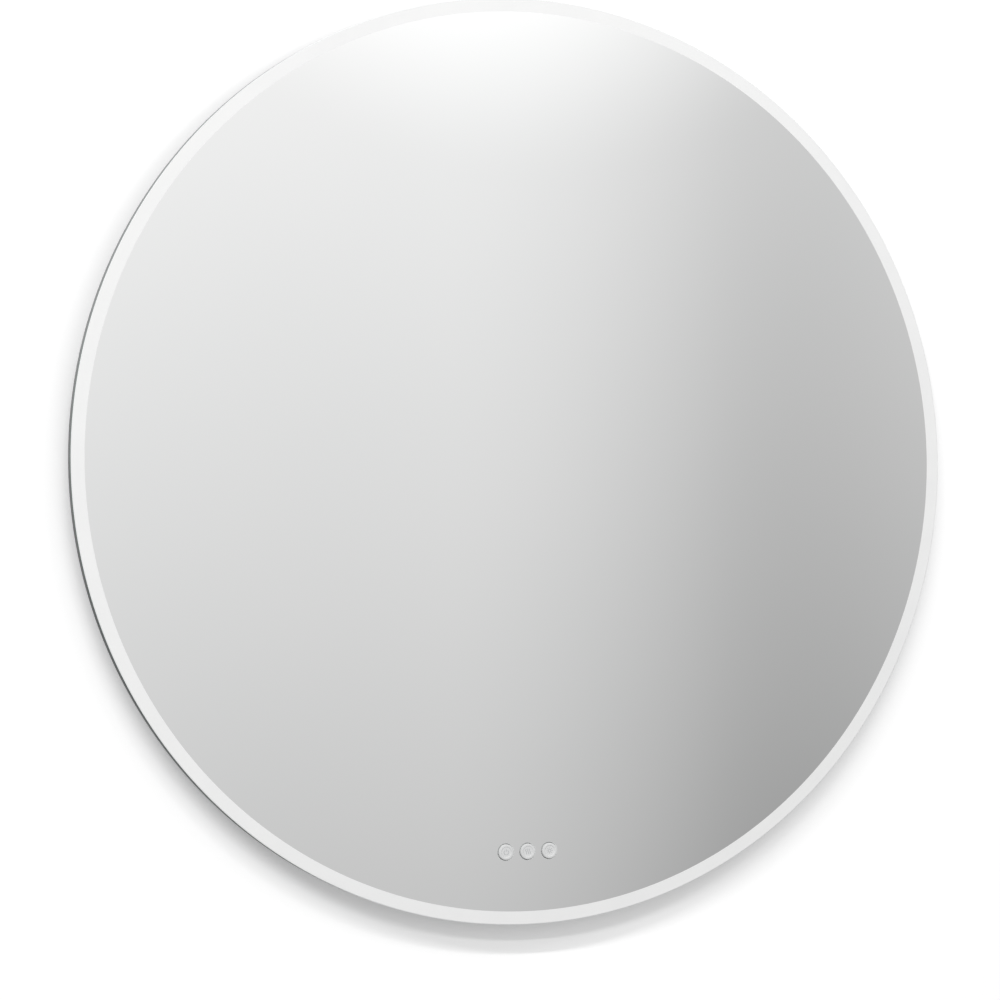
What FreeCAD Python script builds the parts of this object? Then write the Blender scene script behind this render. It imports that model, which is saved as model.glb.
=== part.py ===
import FreeCAD, Part
import math
import os
import Sketcher

# A round lighted bathroom mirror that hangs on a wall bracket.
# X runs to the right as seen from the front, Y into the wall and Z up. The wall is the plane
# Y = 0, and the origin is the middle of the four wall screws, level with the mirror's centre.

doc = FreeCAD.newDocument("mirror")
dims = doc.addObject("Spreadsheet::Sheet", "dims")

# name, size in mm (or a count), what it is
sizes = [
    ("overallDepth", "40", "wall to the front of the glass"),
    ("glassRadius", "400", "outside of the glass disc"),
    ("glassThick", "5", "thickness of the glass"),
    ("arris", "0.6", "chamfer ground on the edges of the glass"),
    ("bandWidth", "11.5", "frosted band, from its inside to the edge of the glass"),
    ("coatThick", "0.2", "silvering with its paint, and the frosted ring beside it"),
    ("coatGap", "0.1", "line left between the silvering and the frosted ring"),
    ("tapeThick", "0.8", "foam bonding tape"),
    ("channelDepth", "6", "edge channel, from the back of the glass to its rear face"),
    ("channelWidth", "15", "edge channel, across its two walls"),
    ("channelWall", "1.2", "wall of the edge channel"),
    ("channelFlange", "12", "bonding flange on the inside of the edge channel"),
    ("diffuserThick", "2", "opal diffuser ring"),
    ("diffuserPlay", "0.2", "play of the diffuser and frosted rings beside the channel's walls"),
    ("boardWidth", "8", "flexible board of the light strip"),
    ("boardThick", "0.4", "thickness of that board"),
    ("lightWidth", "4", "phosphor line on the board"),
    ("lightTall", "1.2", "height of the phosphor line"),
    ("ringGap", "3", "free ring between the channel's flange and the chassis flange"),
    ("chassisFlange", "18", "front flange of the chassis ring, turned outwards"),
    ("chassisWall", "1.2", "sheet of the chassis ring"),
    ("rearFlange", "18", "rear flange of the chassis ring, turned inwards"),
    ("gasketThick", "1", "foam gasket under the back panel"),
    ("gasketInset", "1", "gasket's edges inside the flange's edges"),
    ("panelThick", "1.2", "sheet of the back panel"),
    ("wallGap", "10", "wall to the back panel"),
    ("beadInset", "66", "chassis wall to the middle of the panel's stiffening bead"),
    ("beadWidth", "10", "width of the bead at its mouth"),
    ("beadSlope", "2", "width of each of the bead's sides"),
    ("beadDeep", "1.5", "depth of the bead"),
    ("panelScrewCount", "12", "screws round the back panel"),
    ("screwRadius", "2", "shank of the panel screws"),
    ("screwHead", "4", "head radius of the panel screws"),
    ("screwHeadTall", "2.2", "height of those heads"),
    ("screwLong", "8", "length of the panel screws below the head"),
    ("driveRadius", "1.7", "drive recess in those heads"),
    ("driveDeep", "1.1", "depth of every drive recess"),
    ("holePlay", "0.25", "radial play of a screw in its clearance hole"),
    ("fitPlay", "0.05", "radial play of a rivet, rivet nut or grommet in its hole"),
    ("nutRadius", "3", "barrel of the rivet nuts"),
    ("nutHead", "4.5", "head radius of the rivet nuts"),
    ("nutHeadTall", "0.8", "thickness of that head"),
    ("nutLong", "8", "length of the barrel, from the flange's rear face"),
    ("bracketWidth", "340", "width of the wall bracket"),
    ("bracketTall", "220", "height of the bracket's wall plate"),
    ("bracketThick", "2", "sheet of the bracket"),
    ("windowWidth", "240", "window in the bracket for the supply"),
    ("windowTall", "100", "height of the window"),
    ("windowCorner", "10", "corner radius of the window"),
    ("upstandTall", "18", "upstand above the bracket's web"),
    ("footFold", "7", "stiffening fold at the bracket's foot, from the wall"),
    ("holeSideInset", "20", "bracket's sides to the wall screws"),
    ("holeEndInset", "30", "bracket's top and foot to the wall screws"),
    ("wallHole", "3.25", "radius of the wall screw holes"),
    ("railWidth", "300", "width of the hanging rail"),
    ("railThick", "2", "sheet of the hanging rail"),
    ("railTall", "32", "plate of the rail above the upstand's top"),
    ("lipDeep", "12", "lip of the rail below the upstand's top"),
    ("lipClear", "2.5", "wall to the back of the lip"),
    ("hookPlay", "0.5", "play between the lip and the upstand"),
    ("rivetCount", "6", "rivets in the hanging rail"),
    ("rivetPitch", "52", "spacing of the rivets"),
    ("rivetRise", "20", "upstand's top to the rivets"),
    ("rivetRadius", "2", "shank of the rivets"),
    ("rivetHead", "4", "head radius of the rivets"),
    ("rivetTall", "1.5", "height of a rivet's head and of its set end"),
    ("bumperRadius", "12", "rubber wall bumpers"),
    ("bumperInset", "40", "edge of the back panel to a bumper's centre"),
    ("bumperAngle", "30", "bumpers to each side of the lowest point, in degrees"),
    ("padSize", "380", "side of the square heating pad"),
    ("padCorner", "25", "corner radius of the pad"),
    ("padThick", "0.4", "thickness of the pad"),
    ("padBlockWidth", "20", "moulded outlet of the pad, sideways"),
    ("padBlockTall", "12", "height of that outlet"),
    ("padBlockDeep", "3", "depth of that outlet"),
    ("padBlockX", "60", "outlet's centre, to the left"),
    ("padBlockZ", "100", "outlet's centre, downwards"),
    ("driverLong", "150", "case of the light driver"),
    ("driverWide", "42", "width of that case"),
    ("driverTall", "20", "height of that case"),
    ("driverCorner", "4", "corner radius of that case"),
    ("driverEdge", "60", "mirror's centre line to the near end of the case"),
    ("earLong", "10", "mounting ear at each end of the case"),
    ("earWide", "16", "width of an ear"),
    ("earThick", "2", "thickness of an ear"),
    ("smallRadius", "1.5", "shank of the small screws"),
    ("smallHead", "2.8", "head radius of the small screws"),
    ("smallHeadTall", "2", "height of those heads"),
    ("smallDrive", "1.2", "drive recess in those heads"),
    ("blockX", "10", "mirror's centre line to the terminal block's centre"),
    ("blockWide", "22", "terminal block, along the wires"),
    ("blockLong", "38", "terminal block, across the wires"),
    ("blockTall", "17", "height of the terminal block"),
    ("wayPitch", "10", "spacing of the block's ways"),
    ("wayRadius", "2.7", "wire hole of a way"),
    ("wayHeight", "9", "back panel to the wire holes"),
    ("clampScrewIn", "5.5", "clamping screw's axis to the side of the block"),
    ("clampScrewLong", "4.5", "length of a clamping screw, from the top of the block"),
    ("wellDeep", "1.5", "clamping screw's top below the top of the block"),
    ("clampScrewRadius", "1.6", "radius of a clamping screw"),
    ("grommetX", "60", "mirror's centre line to the mains entry"),
    ("grommetBore", "4", "bore radius of the mains entry"),
    ("grommetNeck", "6", "neck radius of the grommet in the panel"),
    ("grommetLip", "9", "lip radius of the grommet"),
    ("grommetLipTall", "2", "thickness of each lip"),
    ("clampX", "38", "mirror's centre line to the cord clamp"),
    ("clampWide", "10", "cord clamp, along the cord"),
    ("clampLong", "30", "cord clamp, across the cord"),
    ("clampTall", "10", "height of the cord clamp"),
    ("clampBore", "3.6", "channel radius of the clamp"),
    ("clampLift", "2.6", "back panel to the axis of that channel"),
    ("clampScrewOut", "10.5", "cord's axis to a clamp screw"),
    ("earthX", "10", "mirror's centre line to the earth stud"),
    ("earthDrop", "46", "mirror's centre to the earth stud, downwards"),
    ("earthStud", "2", "radius of the earth stud"),
    ("earthWasher", "5", "radius of its washer"),
    ("earthWasherTall", "1.2", "thickness of the washer"),
    ("earthNut", "3.8", "radius of its nut"),
    ("earthNutTall", "3.2", "height of the nut"),
    ("earthLong", "7", "stud's length above the panel"),
    ("buttonInset", "13.8", "chassis wall to the line of the buttons"),
    ("buttonPitch", "20", "spacing of the buttons"),
    ("capRadius", "6.8", "radius of a button cap"),
    ("capProud", "2", "cap in front of the glass"),
    ("capRound", "0.7", "rounded rim of the cap"),
    ("dishDeep", "0.5", "hollow in the face of the cap"),
    ("dishRim", "2", "width of the flat rim round the hollow"),
    ("capFlange", "1.4", "retaining flange, wider than the cap by"),
    ("capFlangeThick", "1", "thickness of that flange"),
    ("stemRadius", "2.5", "stem behind the cap"),
    ("glassPlay", "0.5", "radial play of a cap in its hole in the glass"),
    ("guidePlay", "0.15", "radial play of a cap in its housing"),
    ("housingDeep", "10", "depth of the control housing"),
    ("housingTall", "20", "height of the control housing"),
    ("housingEnd", "6.8", "housing beyond the last cap's flange"),
    ("housingFront", "2", "front plate of the housing, which stops the caps"),
    ("pocketDeep", "4", "switch pocket in the back of the housing"),
    ("pocketEnd", "6", "pocket beyond the last button's axis"),
    ("pocketTall", "14", "height of the switch pocket"),
    ("circuitThick", "1.6", "control board"),
    ("switchSide", "6", "side of a switch"),
    ("switchTall", "3.4", "height of a switch"),
    ("pinRadius", "1.7", "moving pin of a switch"),
    ("pinOut", "1.4", "pin in front of its switch"),
    ("pinIn", "1.6", "pin inside its switch"),
    ("pinPlay", "0.1", "radial play of the pin"),
    ("pinHole", "2.8", "depth of the hole for the pin"),
    ("boardScrewIn", "3.4", "end of the housing to the board screws"),
    ("boardScrewRadius", "1", "shank of the board screws"),
    ("boardScrewHead", "1.9", "head radius of the board screws"),
    ("boardScrewTall", "1.5", "height of those heads"),
    ("boardScrewLong", "6", "length of the board screws below the head"),
    ("plugWide", "12", "plug on the control board"),
    ("plugTall", "5", "height of the plug"),
    ("plugDeep", "6", "depth of the plug"),
    ("ledLeadRadius", "1", "lead of the light strip"),
    ("ledLeadHole", "1.15", "hole for it in the channel's inner wall"),
    ("ledLeadY", "26", "wall to that lead, where it passes the chassis"),
    ("bushNeck", "3", "neck radius of the bush in the chassis wall"),
    ("bushLip", "4.5", "lip radius of the bush"),
    ("bushLipTall", "1.2", "thickness of each lip"),
    ("bushPlay", "0.2", "radial play of the lead in the bush"),
    ("supplyLeadRadius", "2.3", "lead from the terminal block to the driver"),
    ("thinLeadRadius", "1.4", "leads of the pad, the switches and the earth"),
    ("leadIn", "6", "lead's end inside a way of the terminal block"),
    ("switchLeadIn", "38", "near end of the driver to the switch lead's entry"),
]

for row, (alias, size, note) in enumerate(sizes, start=1):
    dims.set(f"A{row}", alias)
    dims.set(f"B{row}", size)
    dims.set(f"C{row}", note)
    dims.setAlias(f"B{row}", alias)
doc.recompute()

pieces = []


# ---- helpers -------------------------------------------------------------------------------

# The size that an expression stands for.
def number(expression):
    return float(dims.evalExpression(expression))


def newBody(label):
    body = doc.addObject("PartDesign::Body", label)
    body.Label = label
    pieces.append(body)
    return body


def originItem(body, role):
    return next(item for item in body.Origin.OriginFeatures if item.Role == role)


# A sketch on one of the body's own planes. On the XZ plane, level is its place along Y.
def newSketch(body, name, plane, level=None):
    sketch = body.newObject("Sketcher::SketchObject", name)
    sketch.AttachmentSupport = [(originItem(body, plane), "")]
    sketch.MapMode = "FlatFace"
    if level is not None:
        sketch.setExpression("AttachmentOffset.Base.z", f"-({level})")
    return sketch


def pin(sketch, edge, point, across, up):
    for kind, expression in (("DistanceX", across), ("DistanceY", up)):
        rule = Sketcher.Constraint(kind, -1, 1, edge, point, number(expression))
        index = sketch.addConstraint(rule)
        sketch.setExpression(f"Constraints[{index}]", expression)


# A closed outline of straight lines through corners given as pairs of expressions.
def drawOutline(sketch, corners):
    first = sketch.GeometryCount
    count = len(corners)
    spots = [FreeCAD.Vector(number(across), number(up), 0) for across, up in corners]
    for i in range(count):
        sketch.addGeometry(Part.LineSegment(spots[i], spots[(i + 1) % count]), False)
    for i in range(count):
        following = first + (i + 1) % count
        sketch.addConstraint(Sketcher.Constraint("Coincident", first + i, 2, following, 1))
    for i, (across, up) in enumerate(corners):
        pin(sketch, first + i, 1, across, up)


def drawBox(sketch, left, low, right, high):
    drawOutline(sketch, [(left, low), (right, low), (right, high), (left, high)])


def drawCircle(sketch, across, up, radius):
    centre = FreeCAD.Vector(number(across), number(up), 0)
    circle = Part.Circle(centre, FreeCAD.Vector(0, 0, 1), number(radius))
    edge = sketch.addGeometry(circle, False)
    pin(sketch, edge, 3, across, up)
    index = sketch.addConstraint(Sketcher.Constraint("Radius", edge, number(radius)))
    sketch.setExpression(f"Constraints[{index}]", radius)


def pad(body, sketch, length, side="One side"):
    feature = body.newObject("PartDesign::Pad", sketch.Name + "_pad")
    feature.Profile = sketch
    feature.SideType = side
    feature.setExpression("Length", length)
    doc.recompute()
    return feature


# Cuts right through the body, both ways from the sketch.
def pierce(body, sketch):
    feature = body.newObject("PartDesign::Pocket", sketch.Name + "_cut")
    feature.Profile = sketch
    feature.Type = "ThroughAll"
    feature.SideType = "Symmetric"
    doc.recompute()
    return feature


# Cuts from the sketch's own level towards the front (or, reversed, towards the wall).
def sink(body, sketch, depth, towardsFront):
    feature = body.newObject("PartDesign::Pocket", sketch.Name + "_sink")
    feature.Profile = sketch
    feature.setExpression("Length", depth)
    feature.Reversed = towardsFront
    doc.recompute()
    return feature


# A round piece turned about its own Y axis, from an outline of radius and level.
def turned(label, corners, across="0", up="0"):
    body = newBody(label)
    sketch = newSketch(body, label + "_section", "XY_Plane")
    drawOutline(sketch, corners)
    feature = body.newObject("PartDesign::Revolution", label + "_turn")
    feature.Profile = sketch
    feature.ReferenceAxis = (sketch, ["V_Axis"])
    feature.Angle = 360
    body.setExpression("Placement.Base.x", across)
    body.setExpression("Placement.Base.z", up)
    doc.recompute()
    return body


# A ring of rectangular section.
def flatRing(label, inner, outer, front, back):
    return turned(label, [(inner, front), (outer, front), (outer, back), (inner, back)])


# A flat plate or block between two levels, its outline drawn on the XZ plane.
def block(label, left, low, right, high, front, back):
    body = newBody(label)
    sketch = newSketch(body, label + "_outline", "XZ_Plane", back)
    drawBox(sketch, left, low, right, high)
    pad(body, sketch, f"({back}) - ({front})")
    return body


def circlesSketch(body, name, points, radius, level="0"):
    sketch = newSketch(body, name, "XZ_Plane", level)
    for across, up in points:
        drawCircle(sketch, across, up, radius)
    return sketch


def drill(body, name, points, radius):
    return pierce(body, circlesSketch(body, name, points, radius))


# Like pins that stand along Y, one for each point. Each stage is a radius, front and back.
def pins(label, points, stages):
    body = newBody(label)
    for i, (radius, front, back) in enumerate(stages):
        sketch = circlesSketch(body, f"{label}_stage{i}", points, radius, back)
        pad(body, sketch, f"({back}) - ({front})")
    return body


# Screws with a blind drive recess. The heads face the wall where the tips point to the front.
def screws(label, points, shank, head, drive, headFront, headBack, tip):
    facesWall = number(tip) < number(headFront)
    shaft = (shank, tip, headFront) if facesWall else (shank, headBack, tip)
    body = pins(label, points, [(head, headFront, headBack), shaft])
    mouth = headBack if facesWall else headFront
    sketch = circlesSketch(body, label + "_drive", points, drive, mouth)
    sink(body, sketch, "dims.driveDeep", facesWall)
    return body


# Rounds the edges that run along Y at the given corners, pairs of expressions.
def roundCorners(body, corners, radius):
    base = body.Tip
    names = []
    for index, edge in enumerate(base.Shape.Edges, start=1):
        ends = [vertex.Point for vertex in edge.Vertexes]
        if len(ends) != 2 or abs(ends[0].y - ends[1].y) < 0.9 * edge.Length:
            continue
        for across, up in corners:
            spot = (abs(ends[0].x - number(across)), abs(ends[0].z - number(up)))
            if max(spot) < 0.001:
                names.append(f"Edge{index}")
    feature = body.newObject("PartDesign::Fillet", body.Name + "_corners")
    feature.Base = (base, names)
    feature.setExpression("Radius", radius)
    doc.recompute()


def boxCorners(left, low, right, high):
    return [(left, low), (right, low), (right, high), (left, high)]


# The route of a lead: straight runs joined by tangent arcs, as large as the runs allow.
def leadRoute(spots):
    edges = []
    start = spots[0]
    for before, corner, after in zip(spots, spots[1:], spots[2:]):
        arriving = (corner - before).normalize()
        leaving = (after - corner).normalize()
        half = arriving.getAngle(leaving) / 2
        reach = 0.45 * min((corner - before).Length, (after - corner).Length)
        radius = reach / math.tan(half)
        bisector = (leaving - arriving).normalize()
        middle = corner + bisector * (radius / math.cos(half) - radius)
        arcStart = corner - arriving * reach
        arcEnd = corner + leaving * reach
        edges.append(Part.LineSegment(start, arcStart).toShape())
        edges.append(Part.Arc(arcStart, middle, arcEnd).toShape())
        start = arcEnd
    edges.append(Part.LineSegment(start, spots[-1]).toShape())
    return Part.Wire(edges)


# A round lead along points given as triples of expressions.
def lead(label, points, radius):
    spots = [FreeCAD.Vector(*[number(value) for value in point]) for point in points]
    route = leadRoute(spots)
    size = number(radius)
    rim = Part.Wire([Part.makeCircle(size, spots[0], spots[1] - spots[0])])
    tube = route.makePipeShell([rim], True, False)
    expected = math.pi * size ** 2 * route.Length
    if abs(tube.Volume / expected - 1) > 0.01:
        raise ValueError(f"{label}: tube volume {tube.Volume:.1f}, expected {expected:.1f}")
    piece = doc.addObject("Part::Feature", label)
    piece.Label = label
    piece.Shape = tube
    piece.Placement = FreeCAD.Placement()
    pieces.append(piece)


# ---- levels along Y, from the front of the glass to the wall ---------------------------------

glassFront = "(-dims.overallDepth)"
glassBack = f"({glassFront} + dims.glassThick)"
coatBack = f"({glassBack} + dims.coatThick)"
tapeBack = f"({coatBack} + dims.tapeThick)"
channelBack = f"({glassBack} + dims.channelDepth)"
panelBack = "(-dims.wallGap)"
panelFront = f"({panelBack} - dims.panelThick)"
flangeBack = f"({panelFront} - dims.gasketThick)"

# ---- radii of the rings, from the edge inwards -----------------------------------------------

silverRadius = "(dims.glassRadius - dims.bandWidth)"
channelBore = "(dims.glassRadius - dims.channelWidth)"
channelFlangeBore = f"({channelBore} - dims.channelFlange)"
channelMiddle = "(dims.glassRadius - dims.channelWidth / 2)"
diffuserInner = f"({channelBore} + dims.channelWall + dims.diffuserPlay)"
diffuserOuter = "(dims.glassRadius - dims.channelWall - dims.diffuserPlay)"
chassisRim = f"({channelFlangeBore} - dims.ringGap)"
chassisRadius = f"({chassisRim} - dims.chassisFlange)"
chassisInner = f"({chassisRadius} - dims.chassisWall)"
rearFlangeBore = f"({chassisRadius} - dims.rearFlange)"
panelScrewRing = f"({chassisRadius} - dims.rearFlange / 2)"

# ---- places of the buttons ---------------------------------------------------------------------

buttonZ = f"(dims.buttonInset - {chassisInner})"
buttonPlaces = {"left": "(-dims.buttonPitch)", "middle": "0", "right": "dims.buttonPitch"}
buttonPoints = [(across, buttonZ) for across in buttonPlaces.values()]
capFlangeRadius = "(dims.capRadius + dims.capFlange)"


# ---- glass, silvering and frosted ring ---------------------------------------------------------

def makeGlass():
    radius = "dims.glassRadius"
    inset = "(dims.glassRadius - dims.arris)"
    corners = [
        ("0", glassFront),
        (inset, glassFront),
        (radius, f"{glassFront} + dims.arris"),
        (radius, f"{glassBack} - dims.arris"),
        (inset, glassBack),
        ("0", glassBack),
    ]
    glass = turned("mirror_glass", corners)
    drill(glass, "glass_button_holes", buttonPoints, "dims.capRadius + dims.glassPlay")


def makeSilver():
    corners = [("0", glassBack), (silverRadius, glassBack), (silverRadius, coatBack), ("0", coatBack)]
    silver = turned("silver_layer", corners)
    drill(silver, "silver_button_holes", buttonPoints, "dims.capRadius + dims.glassPlay")


def makeFrostedRing():
    flatRing("frosted_ring", f"{silverRadius} + dims.coatGap", diffuserOuter, glassBack, coatBack)


# ---- edge channel with its light ---------------------------------------------------------------

channelFloor = f"({channelBack} - dims.channelWall)"


def makeChannel():
    inner = f"{channelBore} + dims.channelWall"
    outer = "dims.glassRadius - dims.channelWall"
    flangeRear = f"{tapeBack} + dims.channelWall"
    corners = [
        ("dims.glassRadius", glassBack),
        ("dims.glassRadius", channelBack),
        (channelBore, channelBack),
        (channelBore, flangeRear),
        (channelFlangeBore, flangeRear),
        (channelFlangeBore, tapeBack),
        (inner, tapeBack),
        (inner, channelFloor),
        (outer, channelFloor),
        (outer, glassBack),
    ]
    channel = turned("edge_channel", corners)
    # The light strip's lead comes in through the inner wall, on the left.
    sketch = newSketch(channel, "channel_lead_hole", "YZ_Plane")
    drawCircle(sketch, ledLeadLevel, "0", "dims.ledLeadHole")
    feature = channel.newObject("PartDesign::Pocket", "channel_lead_cut")
    feature.Profile = sketch
    feature.setExpression("Length", f"{channelBore} + dims.channelWidth / 2")
    doc.recompute()


def makeDiffuser():
    back = f"{coatBack} + dims.diffuserThick"
    flatRing("diffuser_ring", diffuserInner, diffuserOuter, coatBack, back)


def makeLightStrip():
    boardFront = f"({channelFloor} - dims.boardThick)"
    for label, width, front, back in (
        ("led_board_ring", "dims.boardWidth", boardFront, channelFloor),
        ("led_light_line", "dims.lightWidth", f"{boardFront} - dims.lightTall", boardFront),
    ):
        flatRing(label, f"{channelMiddle} - {width} / 2", f"{channelMiddle} + {width} / 2", front, back)


# ---- chassis ring, back panel and what joins them ----------------------------------------------

ledLeadLevel = f"(({tapeBack} + dims.channelWall + {channelFloor}) / 2)"
bushLevel = "(-dims.ledLeadY)"


def makeTapes():
    flatRing("channel_tape", channelFlangeBore, channelBore, coatBack, tapeBack)
    flatRing("chassis_tape", chassisRadius, chassisRim, coatBack, tapeBack)


def makeChassis():
    corners = [
        (chassisRim, tapeBack),
        (chassisRim, f"{tapeBack} + dims.chassisWall"),
        (chassisRadius, f"{tapeBack} + dims.chassisWall"),
        (chassisRadius, flangeBack),
        (rearFlangeBore, flangeBack),
        (rearFlangeBore, f"{flangeBack} - dims.chassisWall"),
        (chassisInner, f"{flangeBack} - dims.chassisWall"),
        (chassisInner, tapeBack),
    ]
    chassis = turned("chassis_ring", corners)
    drill(chassis, "rivet_nut_holes", panelScrewPoints, "dims.nutRadius + dims.fitPlay")
    sketch = newSketch(chassis, "chassis_bush_hole", "YZ_Plane")
    drawCircle(sketch, bushLevel, "0", "dims.bushNeck + dims.fitPlay")
    feature = chassis.newObject("PartDesign::Pocket", "chassis_bush_cut")
    feature.Profile = sketch
    feature.setExpression("Length", f"{chassisRadius} + dims.ringGap")
    doc.recompute()


# Screws round the panel, half a step off the vertical so that none meets the control housing.
def ringPoints():
    count = int(number("dims.panelScrewCount"))
    points = []
    for i in range(count):
        angle = f"(({i} + 0.5) * 360 / dims.panelScrewCount)"
        points.append((f"{panelScrewRing} * cos({angle})", f"{panelScrewRing} * sin({angle})"))
    return points


panelScrewPoints = ringPoints()


def makeGasket():
    gasket = flatRing("panel_gasket", f"{rearFlangeBore} + dims.gasketInset",
                      f"{chassisRadius} - dims.gasketInset", flangeBack, panelFront)
    drill(gasket, "gasket_holes", panelScrewPoints, "dims.nutHead + dims.holePlay")


def makeRivetNuts():
    headBack = f"({flangeBack} + dims.nutHeadTall)"
    stages = [
        ("dims.nutHead", flangeBack, headBack),
        ("dims.nutRadius", f"{flangeBack} - dims.nutLong", flangeBack),
    ]
    nuts = pins("rivet_nuts", panelScrewPoints, stages)
    drill(nuts, "nut_bores", panelScrewPoints, "dims.screwRadius + dims.fitPlay")


def makePanelScrews():
    screws("panel_screws", panelScrewPoints, "dims.screwRadius", "dims.screwHead", "dims.driveRadius",
           panelBack, f"{panelBack} + dims.screwHeadTall", f"{panelBack} - dims.screwLong")


# ---- places of what the back panel carries -----------------------------------------------------

bracketTop = "(dims.bracketTall / 2)"
upstandTop = f"({bracketTop} + dims.upstandTall)"
grommetPoint = ("dims.grommetX", "0")
clampScrewPoints = [("dims.clampX", "(-dims.clampScrewOut)"), ("dims.clampX", "dims.clampScrewOut")]
driverRight = "(-dims.driverEdge)"
driverLeft = f"({driverRight} - dims.driverLong)"
driverScrewPoints = [(f"{driverLeft} - dims.earLong / 2", "0"), (f"{driverRight} + dims.earLong / 2", "0")]
blockLeft = "(-dims.blockX - dims.blockWide / 2)"
blockRight = "(-dims.blockX + dims.blockWide / 2)"
blockScrewPoints = [("(-dims.blockX)", "(-dims.wayPitch / 2)"), ("(-dims.blockX)", "(dims.wayPitch / 2)")]
earthPoint = ("(-dims.earthX)", "(-dims.earthDrop)")


def rivetRow():
    count = int(number("dims.rivetCount"))
    height = f"{upstandTop} + dims.rivetRise"
    return [(f"({i} - (dims.rivetCount - 1) / 2) * dims.rivetPitch", height) for i in range(count)]


rivetPoints = rivetRow()


def makePanel():
    bead = f"({chassisRadius} - dims.beadInset)"
    inside = f"{bead} - dims.beadWidth / 2"
    outside = f"{bead} + dims.beadWidth / 2"
    corners = [
        ("0", panelBack),
        (inside, panelBack),
        (f"{inside} + dims.beadSlope", f"{panelBack} - dims.beadDeep"),
        (f"{outside} - dims.beadSlope", f"{panelBack} - dims.beadDeep"),
        (outside, panelBack),
        (chassisRadius, panelBack),
        (chassisRadius, panelFront),
        (outside, panelFront),
        (f"{outside} - dims.beadSlope", f"{panelFront} - dims.beadDeep"),
        (f"{inside} + dims.beadSlope", f"{panelFront} - dims.beadDeep"),
        (inside, panelFront),
        ("0", panelFront),
    ]
    panel = turned("back_panel", corners)
    small = driverScrewPoints + clampScrewPoints + blockScrewPoints
    drill(panel, "panel_screw_holes", panelScrewPoints, "dims.screwRadius + dims.holePlay")
    drill(panel, "panel_small_holes", small, "dims.smallRadius + dims.fitPlay")
    drill(panel, "panel_rivet_holes", rivetPoints, "dims.rivetRadius + dims.fitPlay")
    drill(panel, "panel_earth_hole", [earthPoint], "dims.earthStud + dims.fitPlay")
    drill(panel, "panel_mains_hole", [grommetPoint], "dims.grommetNeck + dims.fitPlay")


# ---- hanging: bracket on the wall, rail on the panel -------------------------------------------

lipBack = "(-dims.lipClear)"
lipFront = f"({lipBack} - dims.railThick)"
upstandBack = f"({lipFront} - dims.hookPlay)"
upstandFront = f"({upstandBack} - dims.bracketThick)"


# Extrudes a section drawn on the YZ plane evenly to both sides.
def extrudedAcross(label, corners, width):
    body = newBody(label)
    sketch = newSketch(body, label + "_section", "YZ_Plane")
    drawOutline(sketch, corners)
    pad(body, sketch, width, "Symmetric")
    return body


def makeBracket():
    thick = "dims.bracketThick"
    foot = f"(-{bracketTop})"
    corners = [
        ("0", foot),
        ("0", bracketTop),
        (upstandBack, bracketTop),
        (upstandBack, upstandTop),
        (upstandFront, upstandTop),
        (upstandFront, f"{bracketTop} - {thick}"),
        (f"-{thick}", f"{bracketTop} - {thick}"),
        (f"-{thick}", f"{foot} + {thick}"),
        ("-dims.footFold", f"{foot} + {thick}"),
        ("-dims.footFold", foot),
    ]
    bracket = extrudedAcross("wall_bracket", corners, "dims.bracketWidth")
    holeX = "(dims.bracketWidth / 2 - dims.holeSideInset)"
    holeZ = f"({bracketTop} - dims.holeEndInset)"
    screwPoints = boxCorners(f"(-{holeX})", f"(-{holeZ})", holeX, holeZ)
    drill(bracket, "wall_screw_holes", screwPoints, "dims.wallHole")
    window = ("(-dims.windowWidth / 2)", "(-dims.windowTall / 2)", "dims.windowWidth / 2", "dims.windowTall / 2")
    sketch = newSketch(bracket, "supply_window", "XZ_Plane")
    drawBox(sketch, *window)
    pierce(bracket, sketch)
    roundCorners(bracket, boxCorners(*window), "dims.windowCorner")


def makeRail():
    corners = [
        (panelBack, f"{upstandTop} + dims.railTall"),
        (f"{panelBack} + dims.railThick", f"{upstandTop} + dims.railTall"),
        (f"{panelBack} + dims.railThick", f"{upstandTop} + dims.railThick"),
        (lipBack, f"{upstandTop} + dims.railThick"),
        (lipBack, f"{upstandTop} - dims.lipDeep"),
        (lipFront, f"{upstandTop} - dims.lipDeep"),
        (lipFront, upstandTop),
        (panelBack, upstandTop),
    ]
    rail = extrudedAcross("hanging_rail", corners, "dims.railWidth")
    drill(rail, "rail_rivet_holes", rivetPoints, "dims.rivetRadius + dims.fitPlay")


def makeRivets():
    railBack = f"({panelBack} + dims.railThick)"
    stages = [
        ("dims.rivetHead", railBack, f"{railBack} + dims.rivetTall"),
        ("dims.rivetRadius", panelFront, railBack),
        ("dims.rivetHead", f"{panelFront} - dims.rivetTall", panelFront),
    ]
    pins("rail_rivets", rivetPoints, stages)


def makeBumpers():
    ringRadius = f"({chassisRadius} - dims.bumperInset)"
    side = f"{ringRadius} * sin(dims.bumperAngle)"
    down = f"-{ringRadius} * cos(dims.bumperAngle)"
    points = [(f"-{side}", down), (side, down)]
    pins("wall_bumpers", points, [("dims.bumperRadius", panelBack, "0")])


# ---- heating pad -------------------------------------------------------------------------------

padBlockTop = "(-dims.padBlockZ + dims.padBlockTall / 2)"


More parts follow.
